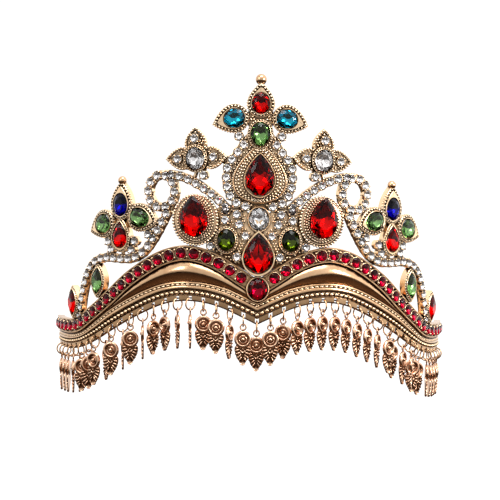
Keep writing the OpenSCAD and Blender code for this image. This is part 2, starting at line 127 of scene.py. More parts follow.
power = node(sky, "ShaderNodeMath", {0: depth.outputs["Color"], 1: flank.outputs["Result"]},
             operation="MULTIPLY")
glow = node(sky, "ShaderNodeBackground", {"Color": tent.outputs["Color"],
                                          "Strength": power.outputs["Value"]})
node(sky, "ShaderNodeOutputWorld", {"Surface": glow.outputs["Background"]})


def soft_box(name, place, size, watts):
    lamp = bpy.data.lights.new(name, "AREA")
    lamp.shape = "RECTANGLE"
    lamp.size, lamp.size_y = size
    lamp.energy = watts
    box = bpy.data.objects.new(name, lamp)
    bpy.context.scene.collection.objects.link(box)
    box.location = place
    box.rotation_euler = (Vector((0, 0, 0.04)) - Vector(place)).to_track_quat("-Z", "Y").to_euler()


soft_box("overhead box", (0.05, -0.32, 0.72), (0.55, 0.35), 4.6)
soft_box("left box", (-0.55, -0.5, 0.38), (0.16, 0.34), 1.2)
soft_box("right box", (0.6, -0.42, 0.22), (0.12, 0.3), 2.8)
bpy.context.scene.view_settings.view_transform = "Standard"

# %% [markdown]
# The crown is held up as a head holds it, so the floor lies 150 mm below it. The floor is a pale matt disc
# that mirror-like surfaces don't see, so the metal keeps its dark underside from every angle.

# %% Floor
FLOOR_Z = -0.15
# Width of the paper's clouds in millimetres
FIBRE_MM = 25
pale = bpy.data.materials.new("matt pale backdrop paper")
pale.use_nodes = True
paper = pale.node_tree
fibre = node(paper, "ShaderNodeTexNoise", {"Vector": node(paper, "ShaderNodeTexCoord").outputs["Object"],
                                           "Scale": 1000 / FIBRE_MM, "Detail": 4.0})
shade = node(paper, "ShaderNodeValToRGB", {"Fac": fibre.outputs["Fac"]}, [(0.3, "#f9f9f8"), (0.7, "#fdfdfc")])
matt = paper.nodes["Principled BSDF"].inputs
paper.links.new(shade.outputs["Color"], matt["Base Color"])
matt["Roughness"].default_value = 0.9

disc = bmesh.new()
bmesh.ops.create_circle(disc, cap_ends=True, segments=96, radius=6.0,
                        matrix=Matrix.Translation((0, 0, FLOOR_Z)))
sheet = bpy.data.meshes.new("floor")
disc.to_mesh(sheet)
disc.free()
floor = bpy.data.objects.new("floor", sheet)
bpy.context.scene.collection.objects.link(floor)
sheet.materials.append(pale)
floor.visible_glossy = False
floor.visible_transmission = False
print("floor at z", FLOOR_Z)

# %% [markdown]
# The crown's own map. A place on it is an angle from the front, a height, and a distance over the metal's
# face. The face leans out a little up to the band's crests and stands upright above them. on_crown gives
# the matrix of a small flat workbench at such a place, with X along the band, Y up and Z outwards. Most
# pieces are built on one.

# %% Places on the crown
BAND_R = 71.5
BAND_LEAN = 0.04
LEAN_TOP = 40
BAND_END = 82.0
MIRROR = Matrix.Scale(-1, 4, (1, 0, 0))


def face_r(z):
    return BAND_R + BAND_LEAN * min(z, LEAN_TOP)


def at(angle, z, over=0.0):
    r = face_r(z) + over
    return Vector((r * math.sin(math.radians(angle)), -r * math.cos(math.radians(angle)), z))


def on_crown(angle, z, over=0.0, turn=0.0):
    a = math.radians(angle)
    bench = Matrix(((math.cos(a), 0, math.sin(a)), (math.sin(a), 0, -math.cos(a)), (0, 1, 0))).to_4x4()
    bench.translation = at(angle, z, over)
    return bench @ Matrix.Rotation(math.radians(turn), 4, "Z")


def along(angle, z):
    """Millimetres along the band from the front."""
    return math.radians(angle) * face_r(z)


def both(benches):
    """The benches of the right half and their mirror images."""
    return list(benches) + [MIRROR @ b for b in benches]


# Columns: angle, height of the red row's middle, height of the rail's lower edge
WAVE = [(0, 26.6, 14.2), (5, 30.8, 17.2), (10, 34.8, 19.9), (15, 37.4, 21.4), (20, 38.3, 21.7),
        (25, 36.9, 20.7), (30, 33.9, 18.4), (37, 28.4, 14.3), (45, 20.8, 9.2), (52, 15.2, 5.0),
        (60, 10.2, 1.8), (70, 8.7, 0.2), (96, 8.6, 0.0)]
ROW, RAIL = 1, 2


def wave(angle, k):
    """Height of a line of the wave, by a smooth curve through the table."""
    angle = abs(angle)
    i = max(j for j in range(len(WAVE) - 1) if WAVE[j][0] <= angle)
    a0, a1 = WAVE[i][0], WAVE[i + 1][0]

    def slope(j):
        if j == len(WAVE) - 1:
            return 0.0
        before, after = WAVE[max(j - 1, 0)], WAVE[j + 1]
        return (after[k] - before[k]) / (after[0] - before[0])

    h = a1 - a0
    t = (angle - a0) / h
    return ((2 * t**3 - 3 * t**2 + 1) * WAVE[i][k] + (t**3 - 2 * t**2 + t) * h * slope(i)
            + (3 * t**2 - 2 * t**3) * WAVE[i + 1][k] + (t**3 - t**2) * h * slope(i + 1))


def stretch(angle, k, step=0.2):
    """How much longer the wave is here than the level band below it."""
    high = abs(angle) + step
    low = max(0.0, abs(angle) - step)
    return math.hypot(1, (wave(high, k) - wave(low, k)) / math.radians(high - low) / BAND_R)


print("rail at the front", WAVE[0][RAIL], "mm, highest red stone", WAVE[4][ROW], "mm")

# %% [markdown]
# A few helpers do most of the modelling. loft fills a first ring of points and draws the face out ring by
# ring, which is Extrude followed by a move. scatter lays copies of one small mesh on many benches. piece
# turns the millimetres to metres, mends the normals and hands the object to the frame, and copies does both.
# grown moves an outline outwards, as an offset of its edges, and slab makes a plate of one.

# %% Modelling helpers
def loft(bm, rings, closed=False):
    first = face = bm.faces.new([bm.verts.new(p) for p in rings[0]])
    for ring in rings[1:] + ([rings[0]] if closed else []):
        drawn = bmesh.ops.extrude_face_region(bm, geom=[face])["geom"]
        if face != first:
            bm.faces.remove(face)
        face = next(g for g in drawn if isinstance(g, bmesh.types.BMFace))
        for vert, point in zip(face.verts, ring):
            vert.co = point
    if closed:
        ends = list(first.verts) + list(face.verts)
        bmesh.ops.delete(bm, geom=[first, face], context="FACES_ONLY")
        bmesh.ops.remove_doubles(bm, verts=ends, dist=1e-4)


def scatter(bm, mesh, benches):
    for bench in benches:
        copy = mesh.copy()
        copy.transform(bench)
        bm.from_mesh(copy)
        bpy.data.meshes.remove(copy)


def template(name, bm):
    """A small mesh in millimetres that scatter repeats."""
    bmesh.ops.recalc_face_normals(bm, faces=bm.faces)
    mesh = bpy.data.meshes.new(name)
    bm.to_mesh(mesh)
    bm.free()
    return mesh


def piece(name, bm, materials, replaces=(), smooth=40):
    """A finished piece of the crown. smooth is the angle up to which edges shade as one surface."""
    bmesh.ops.recalc_face_normals(bm, faces=bm.faces)
    bmesh.ops.scale(bm, vec=(0.001, 0.001, 0.001), verts=bm.verts)
    mesh = bpy.data.meshes.new(name)
    bm.to_mesh(mesh)
    bm.free()
    for material in materials:
        mesh.materials.append(material)
    mesh.polygons.foreach_set("use_smooth", [smooth > 0] * len(mesh.polygons))
    if 0 < smooth < 180:
        mesh.set_sharp_from_angle(angle=math.radians(smooth))
    made = bpy.data.objects.new(name, mesh)
    bpy.context.scene.collection.objects.link(made)
    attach(made, "root")
    if replaces:
        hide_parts(*replaces)
    print(f"{name}: {sum(len(p.vertices) - 2 for p in mesh.polygons)} triangles")


def copies(name, mesh, benches, materials, replaces=(), smooth=180):
    """A piece that is one small mesh, repeated on many benches."""
    bm = bmesh.new()
    scatter(bm, mesh, benches)
    piece(name, bm, materials, replaces, smooth)


def grown(points, by):
    """A closed outline moved outwards by a distance. It runs clockwise."""
    moved = []
    for i, (x, y) in enumerate(points):
        back = Vector(points[i - 1])
        on = Vector(points[(i + 1) % len(points)])
        here = Vector((x, y))
        a, b = (here - back).normalized(), (on - here).normalized()
        out = Vector((-(a + b).y, (a + b).x)).normalized()
        reach = by / max(0.5, math.sqrt(max(0.0, (1 + a.dot(b)) / 2)))
        moved.append((x + out.x * reach, y + out.y * reach))
    return moved


def stack(bm, bench, rings):
    """A body whose wall runs through outlines, each at its height over a bench."""
    loft(bm, [[bench @ Vector((x, y, z)) for x, y in points] for points, z in rings])


def rounded(points, low, high, by):
    """The wall of a plate, its front edge rounded in three steps."""
    return [(points, low), (points, high - by), (grown(points, -0.3 * by), high - 0.3 * by),
            (grown(points, -by), high)]


def slab(bm, bench, points, low, high, by=0.25):
    stack(bm, bench, rounded(points, low, high, by))


# %% [markdown]
# Outlines of the stones: ovals, drops with the point up, and pointed marquises. Each runs clockwise from the
# top in equal steps of one angle, so that the outlines of a stone, its pocket and its rim pair up point by
# point and can be lofted into each other.

# %% Outlines
def oval(w, h, n):
    return [(w / 2 * math.sin(math.tau * i / n), h / 2 * math.cos(math.tau * i / n)) for i in range(n)]


def full_drop(u):
    """Half breadth of a stone's drop outline, as a share of the widest. u runs from its point to its foot."""
    return max(0.0, math.sin(u)) ** 1.15 * math.sin(u / 2) ** 0.7 / 0.8176


def slim_drop(u):
    """The same for the drop-shaped plates, whose shoulders are straighter."""
    return math.sin(u) * math.sin(u / 2) / 0.7698


def pear(w, h, n, half=full_drop):
    points = []
    for i in range(n):
        t = math.tau * i / n
        u = min(t, math.tau - t)
        x = w / 2 * half(u)
        points.append((x if t <= math.pi else -x, h / 2 * math.cos(u)))
    return points


def marquise(w, h, n):
    points = []
    for i in range(n):
        t = math.tau * i / n
        x = w / 2 * (math.sin(t) ** 2) ** 0.8
        points.append((x if math.sin(t) >= 0 else -x, h / 2 * math.cos(t)))
    return points


CUTS = {"oval": oval, "pear": pear, "marquise": marquise}


def between(inner, outer, share):
    """The outline at a share of the way from one outline to another."""
    return [(a[0] + (b[0] - a[0]) * share, a[1] + (b[1] - a[1]) * share) for a, b in zip(inner, outer)]


def even(points, pitch, closed=True):
    """Points at equal steps along a line, with the direction of the line at each, in degrees."""
    line = [Vector(p) for p in points] + ([Vector(points[0])] if closed else [])
    spans = [(b - a).length for a, b in zip(line, line[1:])]
    total = sum(spans)
    count = max(1, round(total / pitch))
    found = []
    for k in range(count if closed else count + 1):
        left = total * k / count
        i = 0
        while i < len(spans) - 1 and left > spans[i]:
            left -= spans[i]
            i += 1
        here = line[i].lerp(line[i + 1], left / spans[i] if spans[i] else 0)
        way = line[i + 1] - line[i]
        found.append((here, math.degrees(math.atan2(way.y, way.x))))
    return found


print("outlines:", ", ".join(CUTS))

# %% [markdown]
# The frame is a zinc alloy casting with a thin pale gold plating, the colour of champagne. Plated metal is
# fully metallic, so its colour is the tint of its reflections. Recesses are painted darker: partly brown
# patina, because polishing never reaches them and the plating solution leaves them brown, and partly
# painted shade. The Ambient Occlusion node finds such places from the shape itself. A slow noise varies the
# plating's tone over a few millimetres, and a fine one gives the hammer-fine unevenness that castings keep.

# %% Plated metals
# Widths of the plating's clouds and of the castings' pits in millimetres
CLOUD_MM, PIT_MM = 3.85, 0.4545


def blank(name):
    """A new material, its empty tree, and the place on the crown by which its textures are laid."""
    made = bpy.data.materials.new(name)
    made.use_nodes = True
    made.node_tree.nodes.clear()
    return made, made.node_tree, node(made.node_tree, "ShaderNodeTexCoord").outputs["Object"]


def plated(name, tones, recess, rough, reach, grain=0.02):
    """Plated metal: two tones, the colour of its recesses (brown patina with painted shade), its roughness,
    and how wide a recess is in metres. grain is the height of its unevenness in millimetres."""
    made, tree, spot = blank(name)
    cloud = node(tree, "ShaderNodeTexNoise", {"Vector": spot, "Scale": 1000 / CLOUD_MM, "Detail": 3.0})
    tone = node(tree, "ShaderNodeValToRGB", {"Fac": cloud.outputs["Fac"]}, [(0.3, tones[0]), (0.7, tones[1])])
    # Painted shade with brown patina: where the Ambient Occlusion node finds little open sky, the colour
    # mixes towards the recess colour
    open_sky = node(tree, "ShaderNodeAmbientOcclusion", {"Distance": reach}, samples=8).outputs["AO"]
    unshaded = node(tree, "ShaderNodeMapRange", {"Value": open_sky, "From Min": 0.38, "From Max": 0.93})
    colour = node(tree, "ShaderNodeMix", {0: unshaded.outputs["Result"], 6: linear(recess),
                                          7: tone.outputs["Color"]}, data_type="RGBA")
    pits = node(tree, "ShaderNodeTexNoise", {"Vector": spot, "Scale": 1000 / PIT_MM, "Detail": 2.0})
    shine = node(tree, "ShaderNodeMapRange", {
        "Value": pits.outputs["Fac"], "From Min": 0.3, "From Max": 0.7, "To Min": rough - 0.04,
        "To Max": rough + 0.06})
    dimples = node(tree, "ShaderNodeBump", {"Height": pits.outputs["Fac"], "Strength": 0.3,
                                            "Distance": grain * 0.001})
    surface = node(tree, "ShaderNodeBsdfPrincipled", {
        "Base Color": colour.outputs[2], "Metallic": 1.0, "Roughness": shine.outputs["Result"],
        "Normal": dimples.outputs["Normal"]})
    node(tree, "ShaderNodeOutputMaterial", {"Surface": surface.outputs["BSDF"]})
    return made


# Champagne gold plating over a cast and tumbled surface: soft highlights, brown patina and painted shade in
# the recesses
cast_gold = plated("champagne gold plating, cast", ("#f8d0a4", "#ffe2bc"), "#341a0a", 0.18, 0.0012)
# The same on the grains and thin wires, whose tops the tumbling brightens most
bright_gold = plated("champagne gold plating, bright grains", ("#ffe0b8", "#ffecd0"), "#482814", 0.15, 0.0009)
# The same where it is buffed and mirrors the studio: the band, the balls and the jump rings
buffed_gold = plated("champagne gold plating, buffed", ("#cca27a", "#dcb690"), "#3a2010", 0.2, 0.0009, 0.006)
# Rose gold plating over stamped brass drops: a coppery tone with dark brown flutes
rose_gold = plated("rose gold plating, stamped", ("#d6a888", "#e6c0a2"), "#84563e", 0.2, 0.0009)
# The same brass, coloured dark brown on the leaf's flat face between the ribs
flute_brown = plated("dark brown in the flutes", ("#7a5236", "#906446"), "#1c0c04", 0.35, 0.0009)
print("metals:", ", ".join(m.name for m in (cast_gold, bright_gold, buffed_gold, rose_gold, flute_brown)))

# %% [markdown]
# The stones are rhinestones: lead glass with a mirror foil on the back. Light goes in through the crown,
# bounces off the foil facets and comes out tinted, so a rhinestone shows bright and dark patches and never
# what is behind it. Each stone is one closed mesh whose front facets are clear tinted glass and whose back
# facets are coloured foil. A solid lump of glass alone would look washed out against a white room.

# %% Glass and foil
# Widths of the melt's streaks and of its worn patches in millimetres
STREAK_MM, WEAR_MM = 5.56, 1.11
LEAD_GLASS_IOR = 1.56


def tinted(name, shades, rough, kind):
    """Glass or foil whose tint drifts slightly between two shades, as batches of melt do. kind holds the
    inputs that make it glass or foil."""
    made, tree, spot = blank(name)
    streak = node(tree, "ShaderNodeTexNoise", {"Vector": spot, "Scale": 1000 / STREAK_MM, "Detail": 2.0})
    tint = node(tree, "ShaderNodeValToRGB", {"Fac": streak.outputs["Fac"]}, [
        (0.35, shades[0]), (0.65, shades[1])])
    worn = node(tree, "ShaderNodeTexNoise", {"Vector": spot, "Scale": 1000 / WEAR_MM, "Detail": 1.0})
    dulled = node(tree, "ShaderNodeMapRange", {"Value": worn.outputs["Fac"], "To Min": rough,
                                               "To Max": rough + 0.03})
    surface = node(tree, "ShaderNodeBsdfPrincipled", {
        "Base Color": tint.outputs["Color"], "Roughness": dulled.outputs["Result"], **kind})
    node(tree, "ShaderNodeOutputMaterial", {"Surface": surface.outputs["BSDF"]})
    return made


# Columns: glass tint and foil tint, each between two shades
TINTS = {
    "red_glass": (("#f00a10", "#dc080e"), ("#f8342c", "#e8281e")),
    "crimson_glass": (("#bc1050", "#9c0c40"), ("#e84c80", "#cc3c6c")),
    "green_glass": (("#a8cc98", "#90bc84"), ("#ccdcb8", "#bcd0a8")),
    "olive_glass": (("#96a43a", "#76862a"), ("#a4b058", "#849440")),
    "aqua_glass": (("#34c8dc", "#28b8cc"), ("#90dce8", "#78ccdc")),
    "blue_glass": (("#1818b0", "#101098"), ("#3434c8", "#2828b8")),
    "clear_glass": (("#fdfbfc", "#f4f4f6"), ("#fbf8f6", "#ecebea")),
}
# Strength of the white reflections on the glass. The foil outshines them in the deep tints.
GLINTS = {"clear_glass": "#ffffff", "green_glass": "#b4b4b4", "aqua_glass": "#b4b4b4",
          "olive_glass": "#a0a0a0"}
DEEP_GLINT = "#7c7c7c"
# The foil of the clear stones is duller, so that they look milky and not like small mirrors
FOIL_ROUGH, FOIL_ROUGH_CLEAR = 0.05, 0.14
gem_materials = {}
for slot, (glass, foil) in TINTS.items():
    title = slot.replace("_", " ")
    foil_rough = FOIL_ROUGH_CLEAR if slot == "clear_glass" else FOIL_ROUGH
    front = {"Transmission Weight": 1.0, "IOR": LEAD_GLASS_IOR,
             "Specular Tint": linear(GLINTS.get(slot, DEEP_GLINT))}
    gem_materials[slot] = [tinted(title + ", cut", glass, 0.0, front),
                           tinted(title + ", foil back", foil, foil_rough, {"Metallic": 1.0})]
print("glass kinds:", ", ".join(gem_materials))

# %% [markdown]
# A cut stone could be modelled face by face, but a convex hull does the cutter's work. The corners of each
# tier of facets are laid out, every second tier turned by half a step, and the hull stretches flat triangles
# and kites over them. The same few lines cut every oval, pear, marquise and round stone.

# %% Cutting a stone
def cut_stone(bm, bench, cut, w, h, crown, pavilion, sides, table=0.56):
    """A brilliant-like cut on a bench at its girdle. Front facets get material 0 and foil facets 1."""
    outline = CUTS[cut](w, h, sides * 2)
    square, turned = outline[::2], outline[1::2]
    if cut != "oval":
        square, turned = turned, square
    tiers = [(square, 1.0, 0.0), (square, 1.0, 0.01 * w), (turned, 0.82, crown * 0.58),
             (square, table, crown), (turned, 0.93, -pavilion * 0.22), (square, 0.62, -pavilion * 0.62),
             (turned, 0.3, -pavilion * 0.86)]
    corners = [bm.verts.new(bench @ Vector((x * k, y * k, z))) for shape, k, z in tiers for x, y in shape]
    corners.append(bm.verts.new(bench @ Vector((0, 0, -pavilion))))
    hull = bmesh.ops.convex_hull(bm, input=corners, use_existing_faces=False)
    spare = {g for g in hull["geom_interior"] + hull["geom_unused"] if isinstance(g, bmesh.types.BMVert)}
    bmesh.ops.delete(bm, geom=list(spare), context="VERTS")
    bmesh.ops.recalc_face_normals(bm, faces=bm.faces)
    bmesh.ops.dissolve_limit(bm, angle_limit=math.radians(1), verts=bm.verts, edges=bm.edges)
    out = bench.to_3x3() @ Vector((0, 0, 1))
    for face in bm.faces:
        face.normal_update()
        face.material_index = 0 if face.normal.dot(out) > 0.05 else 1


ROUND_SIDES, ROUND_TABLE = 8, 0.54


def round_stone(name, d, crown, pavilion):
    bm = bmesh.new()
    cut_stone(bm, Matrix.Rotation(math.pi / ROUND_SIDES, 4, "Z"), "oval", d, d, crown, pavilion, ROUND_SIDES,
              ROUND_TABLE)
    return template(name, bm)


# %% [markdown]
# The large stones, each in its own piece that stands for one CAD solid. The table below repeats where the
# CAD model has them: angle from the front, height, width, length, turn about the bench, cut, how far the
# girdle stands out from the face, glass, and how far the setting's point reaches past the stone. Only the
# lower red stone of the flower is drawn a little larger, as the photo shows it.

# %% Main stones
Stone = namedtuple("Stone", "angle z width length turn cut over glass point")
CENTRE_STONES = {
    "top_oval": Stone(0, 89.5, 6.3, 7.5, 0, "oval", 1.7, "red_glass", 2.3),
    "green_oval": Stone(0, 79.2, 6.8, 8.2, 0, "oval", 2.1, "green_glass", 0),
    "centre_pear": Stone(0, 65.3, 10, 14.2, 0, "pear", 2.9, "red_glass", 0),
    "centre_oval": Stone(0, 50.4, 6.7, 7.7, 0, "oval", 2.0, "clear_glass", 0),
    "base_pear": Stone(0, 38.8, 10, 13.7, 0, "pear", 2.5, "red_glass", 0),
    "v_stone": Stone(0, 26.6, 6.7, 7.5, 0, "oval", 2.1, "crimson_glass", 0),
}
PAIRED_STONES = {
    "aqua": Stone(6.8, 84.4, 6.6, 7.6, -107, "oval", 1.7, "aqua_glass", 2.9),
    "olive": Stone(8.4, 43.2, 6.1, 7.5, 0, "oval", 1.9, "olive_glass", 0),
    "side_pear": Stone(16.7, 51.1, 10.2, 14.4, -4, "pear", 4.6, "red_glass", 0),
    "star": Stone(17.05, 70.6, 6.5, 7.6, 0, "oval", 1.8, "clear_glass", 0),
    "violet": Stone(39.4, 54.0, 6.5, 8.2, 0, "oval", 1.8, "blue_glass", 3.1),
    "inner_green": Stone(33.0, 49.9, 6.7, 8.1, 102, "oval", 1.8, "green_glass", 2.2),
    "outer_green": Stone(45.8, 47.2, 6.7, 8.1, -114, "oval", 1.8, "green_glass", 2.6),
    "flower_red": Stone(39.4, 43.6, 6.6, 9.2, 0, "pear", 1.9, "red_glass", 0),
    "hanging_green": Stone(48.7, 26.8, 5.6, 9.2, 4, "marquise", 1.7, "green_glass", 0),
    "end_red": Stone(62.1, 17.9, 6.2, 9.4, -6, "marquise", 1.7, "red_glass", 0),
}
BIG_WIDTH = 9.0
# Depth of the back as a share of the length. Steeper facets would throw the light about inside the stone.
# These send it down from the upper half and up from the lower one, so that the stone shows a dark and a
# bright half.
BACK_DEPTH, BACK_DEPTH_CLEAR = 0.16, 0.2


def main_stone(name, stone, flip=Matrix()):
    bench = flip @ on_crown(stone.angle, stone.z, stone.over, stone.turn)
    crown, sides = (1.1, 8) if stone.width < BIG_WIDTH else (1.6, 10)
    share = BACK_DEPTH_CLEAR if stone.glass == "clear_glass" else BACK_DEPTH
    bm = bmesh.new()
    cut_stone(bm, bench, stone.cut, stone.width, stone.length, crown, share * stone.length, sides)
    piece(name + "_cut", bm, gem_materials[stone.glass], (name,), smooth=0)


for name, stone in CENTRE_STONES.items():
    main_stone(name, stone)
for name, stone in PAIRED_STONES.items():
    main_stone(name + "_left", stone, MIRROR)
    main_stone(name + "_right", stone)

# %% [markdown]
# Strings of small stones: the crimson row in the band's channel, and the clear ones of the medallion, the
# star, the flower and the scrolls. One stone of each size is cut, and copies of it are laid at their places.

# %% Lines of the scrolls
TOP_STRIP = [(8.9, 54.3), (11.0, 57.0), (13.5, 59.5), (16.4, 61.8), (19.5, 63.7), (23.0, 64.8), (26.4, 64.9)]
STEM = [(24.0, 54.6), (25.3, 51.2), (27.9, 45.1), (30.6, 40.1), (33.2, 37.1), (36.4, 35.5), (40.5, 35.3),
        (45.5, 35.4), (49.4, 34.0), (52.3, 31.4), (54.4, 27.8), (56.0, 23.9), (57.3, 19.6), (58.6, 13.6)]
LOOP_AT = (26.7, 59.2)
LOOP_HALF = (4.95, 5.6)
STONE_PITCH = 3.25


def finer(line):
    """A line with a point halfway along each span, on a smooth curve through its neighbours."""
    made = []
    for i, p in enumerate(line[:-1]):
        before, after, last = line[max(i - 1, 0)], line[i + 1], line[min(i + 2, len(line) - 1)]
        made += [p, tuple(9 / 16 * (p[k] + after[k]) - 1 / 16 * (before[k] + last[k]) for k in (0, 1))]
    return made + [line[-1]]


def loop_point(t):
    """A point of the scroll's ring from its angle in degrees, anticlockwise from the right."""
    return (LOOP_AT[0] + math.degrees(LOOP_HALF[0] * math.cos(math.radians(t)) / face_r(LOOP_AT[1])),
            LOOP_AT[1] + LOOP_HALF[1] * math.sin(math.radians(t)))


top_line = finer(finer(TOP_STRIP))
stem_line = finer(finer(STEM))
loop_line = [loop_point(-t) for t in range(0, 360, 10)]


def unrolled(line):
    return [(along(a, z), z) for a, z in line]


def rolled(s, z):
    return math.degrees(s / face_r(z)), z


def stones_along(line, skip_first, skip_last, closed=False):
    """Angle, height and direction of stones at equal steps, without the first or last few."""
    spots = even(unrolled(line), STONE_PITCH, closed)
    return [(*rolled(p.x, p.y), way) for p, way in spots[skip_first:len(spots) - skip_last]]


scroll_spots = (stones_along(top_line, 0, 1) + stones_along(stem_line, 1, 0)
                + stones_along(loop_line, 0, 0, True))
print("clear stones on one half's scrolls:", len(scroll_spots))

# %% Strings of stones
FIELD = [(5.6, 78.4), (4.3, 75.5), (5.8, 72.9), (7.3, 70.4), (8.45, 67.5), (8.7, 64.3), (8.4, 61.2),
         (7.6, 58.2), (6.0, 55.7), (3.6, 54.6), (5.8, 51.9), (8.8, 53.2), (8.9, 49.9), (5.1, 48.5),
         (3.45, 44.6), (5.6, 37.4), (12.6, 40.9)]
SPRIGS = [(17.5, 77.4), (12.3, 71.2), (22.1, 70.3), (14.8, 65.0), (34.8, 41.7), (35.8, 38.7), (44.3, 41.1),
          (43.2, 38.6), (30.4, 44.2)]
CLEAR_D, CLEAR_SEAT, CLEAR_PAVILION, CLEAR_CROWN = 2.9, 0.9, 0.45, 0.6
ROW_D, ROW_CROWN, ROW_PAVILION, ROW_OVER = 3.9, 0.8, 1.05, 1.25
ROW_PITCH, ROW_START, ROW_END = 4.55, 4.4, BAND_END - 2
HALF_STEP = 1.8


def row_angles():
    """Angles of the crimson stones. The wave's slope is taken about halfway to the next stone."""
    found, a = [], ROW_START
    while a <= ROW_END:
        found.append(a)
        a += math.degrees(ROW_PITCH / stretch(a + HALF_STEP, ROW) / face_r(wave(a, ROW)))
    return found


def stone_benches(spots):
    return both([on_crown(spot[0], spot[1], CLEAR_SEAT + CLEAR_PAVILION) for spot in spots])


def string_of(name, mesh, benches, glass, replaces=()):
    copies(name, mesh, benches, gem_materials[glass], replaces, smooth=0)


clear_round = round_stone("clear round stone", CLEAR_D, CLEAR_CROWN, CLEAR_PAVILION)
red_round = round_stone("crimson round stone", ROW_D, ROW_CROWN, ROW_PAVILION)
row = row_angles()
row_benches = both([on_crown(a, wave(a, ROW), ROW_OVER) for a in row])
string_of("red_row_cut", red_round, row_benches, "crimson_glass", ("red_row",))
string_of("clear_field_cut", clear_round, stone_benches(FIELD), "clear_glass", ("clear_field",))
string_of("clear_sprigs_cut", clear_round, stone_benches(SPRIGS), "clear_glass", ("clear_sprigs",))
string_of("scroll_stones", clear_round, stone_benches(scroll_spots), "clear_glass")

# %% [markdown]
# The band is one moulded strip bent round the head. Its section, from below: a rail with square holes for
# the jump rings, a hollow for a row of beads, a smooth ridge, a flat for fine milling, a narrow ridge, the
# polished leaf and the channel of the red row. The section rises and falls with the wave, so it is lofted
# through many stations, with two of them at the sides of each hole.

# %% Band
MOULD_H, CHANNEL_H, RAIL_H, WALL = 6.9, 5.2, 2.1, 1.3
RAIL_FRONT, RAIL_BACK = 0.5, -0.4
# Rail and mouldings take at most this share of the height below the channel. The leaf bulges by BULGE for
# each millimetre of its height.
MOULD_SHARE, BULGE = 0.93, 0.26
CHANNEL_RIM = 0.55
HOLE, HOLE_HEIGHT, DROP_STEP, DROPS = 1.25, 1.15, 3.66, 21
HOLE_HALF = math.degrees(HOLE / 2 / BAND_R)
# Stations at each drop: two at the sides of its hole, two inside, and three on the way to the next hole
STATION_STEPS = (-HOLE_HALF, -0.22, 0.22, HOLE_HALF, 1.13, 1.83, 2.53)


def band_heights(a):
    """Rail's edge and top, foot of the leaf, and foot and top of the channel."""
    rail, row_z = wave(a, RAIL), wave(a, ROW)
    low = row_z - CHANNEL_H / 2 * stretch(a, ROW)
    foot = min(rail + MOULD_H * stretch(a, RAIL), rail + MOULD_SHARE * (low - rail))
    return rail, rail + RAIL_H * stretch(a, RAIL), foot, low, row_z + CHANNEL_H / 2 * stretch(a, ROW)


# Columns: share of the height between the rail's top and the leaf, distance over the face
MOULDINGS = [(0.0, 0.05), (0.03, 0.0), (0.05, 0.0), (0.06, 0.15), (0.2, 0.25), (0.34, 0.15), (0.36, 0.0),
             (0.395, 0.0), (0.41, 0.55), (0.44, 0.8), (0.52, 0.88), (0.6, 0.84), (0.67, 0.74), (0.69, 0.64),
             (0.71, 0.15), (0.8, 0.15), (0.815, 0.62), (0.85, 0.7), (0.92, 0.66), (0.97, 0.5), (1.0, 0.2)]


def band_section(a):
    rail, top, foot, low, high = band_heights(a)
    k = stretch(a, RAIL)
    rim = CHANNEL_RIM * stretch(a, ROW)
    leaf = low - foot
    hole = rail + HOLE_HEIGHT * k
    sill, lintel = hole - HOLE / 2 * k, hole + HOLE / 2 * k
    front = [(rail, 0.1), (rail + 0.12 * k, 0.42), (rail + 0.3 * k, 0.485), (sill, 0.49),
             (lintel, RAIL_FRONT), (top - 0.12 * k, RAIL_FRONT), (top, 0.3)]
    front += [(top + s * (foot - top), over) for s, over in MOULDINGS]
    front += [(foot + t * leaf, 0.3 + BULGE * leaf * math.sin(math.pi * t)) for t in
              (0.04, 0.12, 0.2, 0.3, 0.4, 0.5, 0.6, 0.7, 0.8, 0.88, 0.96)]
    front += [(low - 0.1, 0.15), (low, 0.95), (low + 0.12, 1.15), (low + rim - 0.12, 1.15), (low + rim, 0.95),
              (low + rim, 0.05), (high - rim, 0.05), (high - rim, 0.95), (high - rim + 0.12, 1.15),
              (high - 0.15, 1.15), (high, 0.95)]
    back = [(high, -WALL), (top, -WALL), (top, RAIL_BACK), (lintel, RAIL_BACK), (sill, RAIL_BACK),
            (rail + 0.05, RAIL_BACK), (rail, -0.25)]
    return [at(a, z, over) for z, over in front + back]


def stations():
    half = [0.0]
    for i in range(DROPS + 2):
        half += [i * DROP_STEP + step for step in STATION_STEPS]
    half = sorted({round(a, 4) for a in half if 0 <= a < BAND_END - 0.2})
    half.append(BAND_END)
    return [-a for a in reversed(half[1:])] + half


def in_hole(centre):
    """True for the middle of a face of the rail's front or back that a jump ring's hole takes."""
    a = math.degrees(math.atan2(centre.x, -centre.y))
    i = round(a / DROP_STEP)
    hole = wave(i * DROP_STEP, RAIL) + HOLE_HEIGHT * stretch(i * DROP_STEP, RAIL)
    out = math.hypot(centre.x, centre.y) - face_r(centre.z)
    return (abs(i) <= DROPS and abs(a - i * DROP_STEP) < HOLE_HALF and abs(centre.z - hole) < 0.6
            and min(abs(out - RAIL_FRONT), abs(out - RAIL_BACK)) < 0.1)


band = bmesh.new()
loft(band, [band_section(a) for a in stations()])
hole_faces = [face for face in band.faces if in_hole(face.calc_center_median())]
bmesh.ops.delete(band, geom=hole_faces, context="FACES")
holes = {}
for edge in (e for e in band.edges if e.is_boundary):
    middle = (edge.verts[0].co + edge.verts[1].co) / 2
    i = round(math.degrees(math.atan2(middle.x, -middle.y)) / DROP_STEP)
    holes.setdefault(i, []).append(edge)
for edges in holes.values():
    bmesh.ops.bridge_loops(band, edges=edges)
print("holes in the rail:", len(holes))
piece("band", band, [buffed_gold], ("frame",), smooth=38)

# %% [markdown]
# Beads and milling are what make cast jewellery glitter. One sphere of few faces does for all of them: it is
# squashed and turned on each bench. A row of beads runs in the hollow above the rail, and the milling above
# the smooth ridge is a row of low grains that lie along it.

